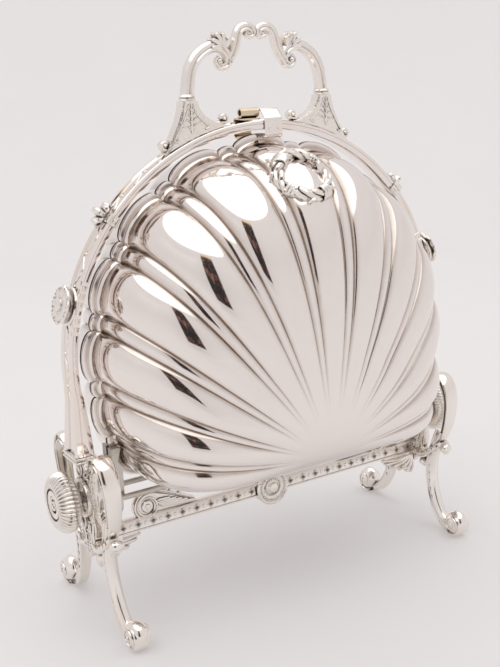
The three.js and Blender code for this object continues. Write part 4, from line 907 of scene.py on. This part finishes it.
parts = [
    swept(spline(band, 7), crowned, lambda t: 0.62 + 0.43 * sin(pi * min(1, 0.12 + t)) ** 0.7, along_x),
    tube(curl, 1.1, 3, 10, (1, 0.7), along_x, deep=4, fullness=3),
    ball((end_x, *volute), 1.6, (2.6, 1, 1)),
    turned_bar(disc, (end_x, *volute)),
    swept(spline(shank, 6), ridged,
          lambda t: 1.02 - 0.08 * sin(pi * t) - 0.24 * smooth(t, 0.7, 1), along_x),
    tube(collar, 2.1, 5, 14, (1.1, 0.9), along_x, deep=4.6, fullness=3.2),
    tube(roll, 1.25, 3, 14, (1.06, 0.81), along_x, deep=4.4, fullness=2.4),
    ball((end_x, foot_y, foot_roll_z), foot_ball, (0.76, 1, 1), 32),
]
for y, z in ((28.7, 49.9), (11.2, 37)):
    parts.append(ball((end_x, y, z), 2.7, (1.5, 1, 1), 16))
    parts.append(ball((end_x, y + 0.6, z - 2.2), 1.4, (1.6, 1, 1), 10))
for side in (-1, 1):
    for k in range(4):
        parts.append(ball((end_x + side * 4.4, 12 + k * 4.2, 42.5 + k * 2.7), 0.95, (0.6, 1, 1), 8))
    for k in range(5):
        z = 36 - k * 4.5
        y = 18.4 + 0.045 * (z - 33) ** 2 * 0.3
        parts.append(ball((end_x + side * 2.9, y, z), 0.8 - 0.06 * k, (0.5, 1, 1.4), 8))
    coil = [(end_x + side * 0.76 * sqrt(foot_ball ** 2 - hypot(u, v) ** 2), foot_y + u, foot_roll_z + v)
            for u, v in spiral(-60, 480, 21, 5.2, 0.8)]
    parts.append(tube(coil, 0.6, 3, 8, (1.1, 0.7), along_x))
verts, faces = joined(*parts)
leg = [Vector((v.x + leg_lean * (v.z - leg_lean_z), v.y, v.z)) for v in verts], faces
leg_silver = silver("leg_silver", (0.91, 0.868, 0.83), 0.1, recess=0.85)
for name, shape in (("leg_rear_right", leg), ("leg_rear_left", flipped(leg)),
                    ("leg_front_right", flipped(leg, 1)), ("leg_front_left", flipped(flipped(leg), 1))):
    make_piece(name + "_scroll", shape, "stand", "cast_silver", leg_silver, [name])

# Snail knobs: cast rolls with fine ribs all round and a spiral on the sunk face. Each stands on a stem out
# of the ring boss.

snail_tube, snail_ring, snail_half_depth, snail_ribs = 7.4, 7.6, 5.8, 42
snail_foot_x = end_x + plate_half + 0.8
snail_x = end_x + plate_half + 5.2


def rib(radius, wave):
    sharp_wave = wave if wave > 0 else wave * 1.6
    lift = 0.26 * sharp_wave * smooth(radius, 8.6, 10.4) * (1 - smooth(radius, 12, 14.8))
    return 1 + 0.022 * sharp_wave * smooth(radius, 8.2, 10), lift


profile = [(0.01, 0.2), (snail_ring * 0.7, 0.1)]
for i in range(23):
    turn = -pi / 2 + pi * 0.965 * i / 22
    profile.append((snail_ring + snail_tube * cos(turn) ** 0.9, snail_half_depth * (1 + sin(turn))))
profile += [(8.2, 11.3), (8.05, 10.2), (7.5, 10.1), (7.3, 10.6), (7.1, 11.1), (6.7, 11.3), (4.7, 11.3),
            (4.3, 11), (4.1, 9.7), (0.01, 9.5)]
roll = moved(petalled(profile, snail_ribs * 8, snail_ribs, rib),
             Matrix.Translation((snail_x, 0, boss_z)) @ Matrix.Rotation(pi / 2, 4, "Y"))
stem = turned_bar([(0.01, 0), (3, 0), (3, 3.6), (4.4, 5.4), (0.01, 5.4)], (snail_foot_x, 0, boss_z))
line = [(snail_x + 10.4, -u, boss_z + v) for u, v in spiral(60, 468, 36, 3.9, 0.7)]
coil = tube(line, 0.8, 3, 10, (1.05, 0.75), along_x, deep=1)
make_pair("snail_knob", "ribbed", joined(stem, roll, coil, ball((snail_x + 10.2, 0, boss_z), 1.1, sides=16)))

# Stretcher: a cast bar between the end plates with a bead along each edge and lozenges punched into its
# sunk faces. A scroll stands on it at each side and a fan leaf is soldered into the corner below.

bar_reach, bar_z = 103.165, 44
punch_pitch, punched_from, punched_to = 8.5, 10, 98
bar_side = both_sides([(1.2, 3.85), (2.1, 3.6), (2.5, 3.1), (2.4, 2.75), (1.9, 2.5), (1.8, 2.3)])
bar_section = bar_side + [(-y, -z) for y, z in bar_side]
bar_line = [Vector((x, 0, bar_z)) for x in (-bar_reach, -60, -20, 20, 60, bar_reach)]
bar = swept(bar_line, bar_section, flat=(0, 0, 1))
punches, studs = [], []
for i in range(-11, 12):
    for face in (-1, 1):
        x = (i + 0.5) * punch_pitch
        if punched_from < abs(x) < punched_to:
            punches.append(ball((x, face * 1.74, bar_z), 1.55, (1.05, 0.25, 1), 4))
            rim = [(x + 2.0 * c, face * 1.8, bar_z + 1.9 * s) for c, s in circle(1, steps=4)]
            studs.append(tube(rim, 0.3, 1, 6, closed=True))
        if punched_from < abs(i * punch_pitch) < punched_to:
            studs.append(ball((i * punch_pitch, face * 1.85, bar_z), 0.95, (1, 0.5, 1), 8))
make_piece("stretcher_bar", joined(bar, *studs), "stand", "cast_silver", cast_silver, ["stretcher"])
# The punched lozenges are dark castings: their colour is painted shade for the sunk holes.
painted_punch_shade = silver("painted_punch_shade", (0.2, 0.16, 0.13), 0.45)
make_piece("stretcher_punches", joined(*punches), "stand", "cast_silver", painted_punch_shade)

scroll_x, scroll_z, scroll_radius = 74.965, 52.4, 8.6
fan_width, fan_drop, fan_top_z, bar_top_z = 24, 13, 39.2, 48.6
ribbon = [(47.5, 0, 49.6), (53.5, 0, 52.6), (63.2, 0, 57.3), (70.5, 0, 59.5)]
ribbon += [(scroll_x + u, 0, scroll_z + v) for u, v in spiral(90, -500, 28, scroll_radius - 1.3, 0.62)]
grooved = both_sides([(-1.3, 1.2), (-0.9, 2), (-0.3, 2.2), (0.1, 1.7), (0.5, 2), (1.1, 1.6), (1.3, 0.8)])
web = [(45.5, 48.3), (52.3, 51), (63.2, 55.9), (72, 59), (scroll_x, 59.5), (82, 53), (scroll_x, 48.15)]
knob = both_sides([(0.01, 2.6), (1.2, 2.5), (1.7, 2), (2.9, 1.9), (3.3, 1.4)])
disc = both_sides([(0.01, 1.1), (6.6, 1.1)])
middle = (scroll_x, 0, scroll_z)
parts = [
    swept(spline(ribbon, 4), grooved, lambda t: 0.55 + 0.55 * sin(pi * min(1, 0.05 + t * 1.1))),
    outline_plate(web, 0.9, 0.2),
    turned_bar(disc, middle, (0, 1, 0), 28),
    turned_bar(knob, middle, (0, 1, 0)),
]
for k in range(5):
    tip = Vector((48.5 + 3.4 * k, 0, 49.3 + 1.15 * k))
    for face in (-1, 1):
        rib = [Vector((66.5 + k, face * 1.1, 50.3 + 0.8 * k)), tip + Vector((5.5, face * 1.5, 0.4)),
               tip + Vector((0, face * 1.1, 0))]
        parts.append(tube(rib, 0.75, 4, 8, (0.8, 1.2), deep=0.7))
for x, z, lean in ((56, 55.6, -0.5), (61, 57.7, -0.2), (66, 59.4, 0.1)):
    leaf = [(x, 0, z - 1.5), (x + lean, 0, z + 1.2), (x + lean * 3, 0, z + 2.4)]
    parts.append(tube(leaf, 1.1, 4, 8, (1, 0.4), deep=1.5))
make_pair("stretcher_scroll", "cast", joined(*parts))

lobes = ((0.96, 0.07, 1.25), (0.86, 0.25, 1.5), (0.66, 0.47, 1.6), (0.42, 0.66, 1.6), (0.2, 0.84, 1.5),
         (0.06, 0.94, 1.2))
tips = [(bar_reach - fan_width * u, fan_top_z - fan_drop * v) for u, v, _ in lobes]
edge = [(bar_reach, 40), (bar_reach - 22, 40), *tips, (bar_reach, 27.5)]
parts = [outline_plate(edge, 1.1, 0.3)]
root = Vector((bar_reach - 1.5, 0, 38.2))
for (x, z), (_, _, thick) in zip(tips, lobes):
    tip = Vector((x, 0, z))
    middle = root.lerp(tip, 0.55) + Vector((0.8, 0, -0.9))
    parts.append(swept(spline([root, middle, tip], 5), round_section(thick, 1.9, 10),
                       lambda t: 0.45 + 0.75 * sin(pi * min(1, 0.1 + t * 0.75))))
    parts.append(ball(tip, thick * 0.9, (1, 1.4, 1), 10))
root = Vector((bar_reach - 1, 0, bar_top_z))
for lean in (0.15, 0.55, 0.95, 1.3):
    tip = root + Vector((-8.5 * sin(lean), 0, 7.5 * cos(lean)))
    parts.append(tube([root, tip], 1.1, 5, 8, (0.5, 1), deep=1.3))
make_pair("stretcher_leaf", "cast", joined(*parts))

# Medallions: turned buttons at the middle of the stretcher, one on each face, with rings, a row of fine
# beads and a round knob.

button = [(0.01, 0), (9.9, 0), (10, 0.3), (10, 1), (9.6, 1.5), (9, 1.75), (8.4, 1.5), (8, 1), (7.3, 0.85),
          (6.9, 1.2), (6.3, 1.3), (5.8, 0.95), (4.6, 0.8), (3.7, 0.95), (3.1, 1.4), (2.6, 2.2), (1.6, 2.6),
          (0.01, 2.75)]
for name, face in (("medallion_front", -1), ("medallion_rear", 1)):
    parts = [turned_bar(button, (0, face * 2.8, bar_z), (0, face, 0), 48)]
    for ring, count, lift, size, squash in ((4.7, 22, 3.7, 0.55, 0.8), (7.6, 30, 3.75, 0.5, 0.7)):
        parts += [ball((x, face * lift, z), size, (1, squash, 1), 8)
                  for x, z in circle(ring, (0, bar_z), count)]
    make_piece(name + "_turned", joined(*parts), "stand", "cast_silver", chased_silver, [name])

# Wreath: a cast ring of twisted stems with ribbon wraps, soldered on the front half's middle lobe. The
# ribbon's tails lie loose beside it.

wreath_radius, wreath_strands, wreath_twists, strand_steps, wreath_lift = 13.3, 3, 4, 112, 2.1


def lobe_face(x, z):
    """The Y of the front half's surface at a place on its upper lobes."""
    grow = (1 + flute_height(atan2(x, z - fan_z)) / shell_radius) * (1 - cove_share)
    share = outline_share(x / grow, shell_middle_z + (z - shell_middle_z) / grow)
    left = max(1 - share ** 2.5, 0) ** (1 / 2.5)
    return lip_face - (dome_depth - cove_height) * left * grow - cove_height


wreath_low, wreath_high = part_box("wreath")
wreath_z = (wreath_low.z + wreath_high.z) / 2 / mm
tilt = Vector((0, lobe_face(0, wreath_z + 1) - lobe_face(0, wreath_z - 1), 2)).normalized()
outward = Vector((0, -tilt.z, tilt.y))
wreath_middle = Vector((0, lobe_face(0, wreath_z), wreath_z))


def on_wreath(turn, lift, out=0.0):
    """A point on the wreath, some way above the lobe's surface and outside the ring's middle line."""
    flat = wreath_middle + (tilt * cos(turn) + Vector(along_x) * sin(turn)) * (wreath_radius + out)

    def is_below(rise):
        point = flat + outward * rise
        return point.y > lobe_face(point.x, point.z)
    return flat + outward * (furthest(-12, 12, 24, is_below) + lift)


parts = []
for strand in range(wreath_strands):
    line = []
    for i in range(strand_steps):
        turn = 2 * pi * i / strand_steps
        twist = wreath_twists * turn + 2 * pi * strand / wreath_strands
        line.append(on_wreath(turn, wreath_lift + 1.3 * sin(twist), 1.6 * cos(twist)))
    parts.append(swept(line, round_section(1.55, 1.55, 8), flat=outward, closed=True))
for turn, size in ((-0.75, 1.15), (0.85, 0.9), (2.75, 1.15), (4.1, 0.9)):
    for at in (turn - 0.12, turn, turn + 0.12):
        loop = [on_wreath(at, 2.2 + 2.7 * size * s, 2.8 * size * c) for c, s in circle(1, steps=14)]
        along = (on_wreath(at + 0.05, 2.2) - on_wreath(at - 0.05, 2.2)).normalized()
        parts.append(swept(loop, round_section(0.6, 0.95, 10, 3), flat=along, closed=True))
for turn, lean in ((-1.25, -1), (-0.3, 1), (2.3, -1), (3.2, 1)):
    tail = [on_wreath(turn + lean * aside, lift, out)
            for aside, lift, out in ((0, 2.6, 1), (0.14, 3.6, 3.2), (0.26, 2, 3.9))]
    parts.append(tube(tail, 1.3, 5, 8, (1, 0.6), outward, deep=0.7))
make_piece("wreath_twisted", joined(*parts), "front_half", "cast_silver", cast_silver, ["wreath"])

# Catches: two spring straps riveted behind the lips. The front one stands before the hoop and leans back
# over it as a thumb plate, the rear one lies over the hoop and ends in a roll.

catch_half_width, catch_x, strap_top_z = 5.2, 5.35, 243.45
strap_foot = [(-2.5, 234.7), (-4.6, 234.1), (-6.25, 235.6), (-6.25, 239)]


def catch_strip(path, side=1):
    """A thin strip bent along (y, z) pairs."""
    line = [Vector((0, side * y, z)) for y, z in strap_foot + path]
    return tube(line, 0.45, 4, 16, flat=along_x, deep=catch_half_width, fullness=7)


def catch_bar(half_profile, y, z, sides, bored=False):
    profile = both_sides(half_profile, 2 * catch_half_width)
    if bored:
        profile.append(profile[0])
    return turned_bar(profile, (-catch_half_width, y, z), sides=sides)


front_strip = catch_strip([(-6.25, 242.4), (-5.9, 243.7), (-4.3, 245.4), (-2, 247.8)])
plate_edge = catch_bar([(0.01, 0), (0.6, 0), (0.7, 0.2)], -1.9, 247.7, 12)
rivets = [ball((x, -6.7, 238.6), 0.9, (1, 0.4, 1), 10) for x in (-2.6, 2.6)]
make_piece("front_catch_spring", shifted(joined(front_strip, plate_edge, *rivets), catch_x), "front_half",
           "polished_silver", bright_silver, ["front_catch"])
spring_silver = silver("spring_silver", (0.74, 0.62, 0.47), 0.2, recess=0.9, grain=2)
rear_strip = catch_strip([(-6.2, 242), (-5.4, strap_top_z), (-2, strap_top_z), (2.9, strap_top_z)], -1)
roll = catch_bar([(1.5, 0.2), (1.65, 0), (2.25, 0), (2.4, 0.2)], 0, 246.5, 28, True)
seam = catch_bar([(0.01, 0), (0.55, 0)], 1.4, 244.2, 10)
make_piece("rear_catch_spring", shifted(joined(rear_strip, roll, seam), -catch_x), "rear_half",
           "polished_silver", spring_silver, ["rear_catch"])

# Grilles: gilt sheets pierced with slots, hinged on pins inside each half to hold the biscuits back. They
# keep the shape of the solids.

gilt_sheet = silver("gilt_sheet", (0.86, 0.69, 0.4), 0.18, recess_shade_and_tarnish=(0.2, 0.12, 0.05), recess=0.6, grain=2)
refinish(gilt_sheet, "front_grille", "rear_grille")
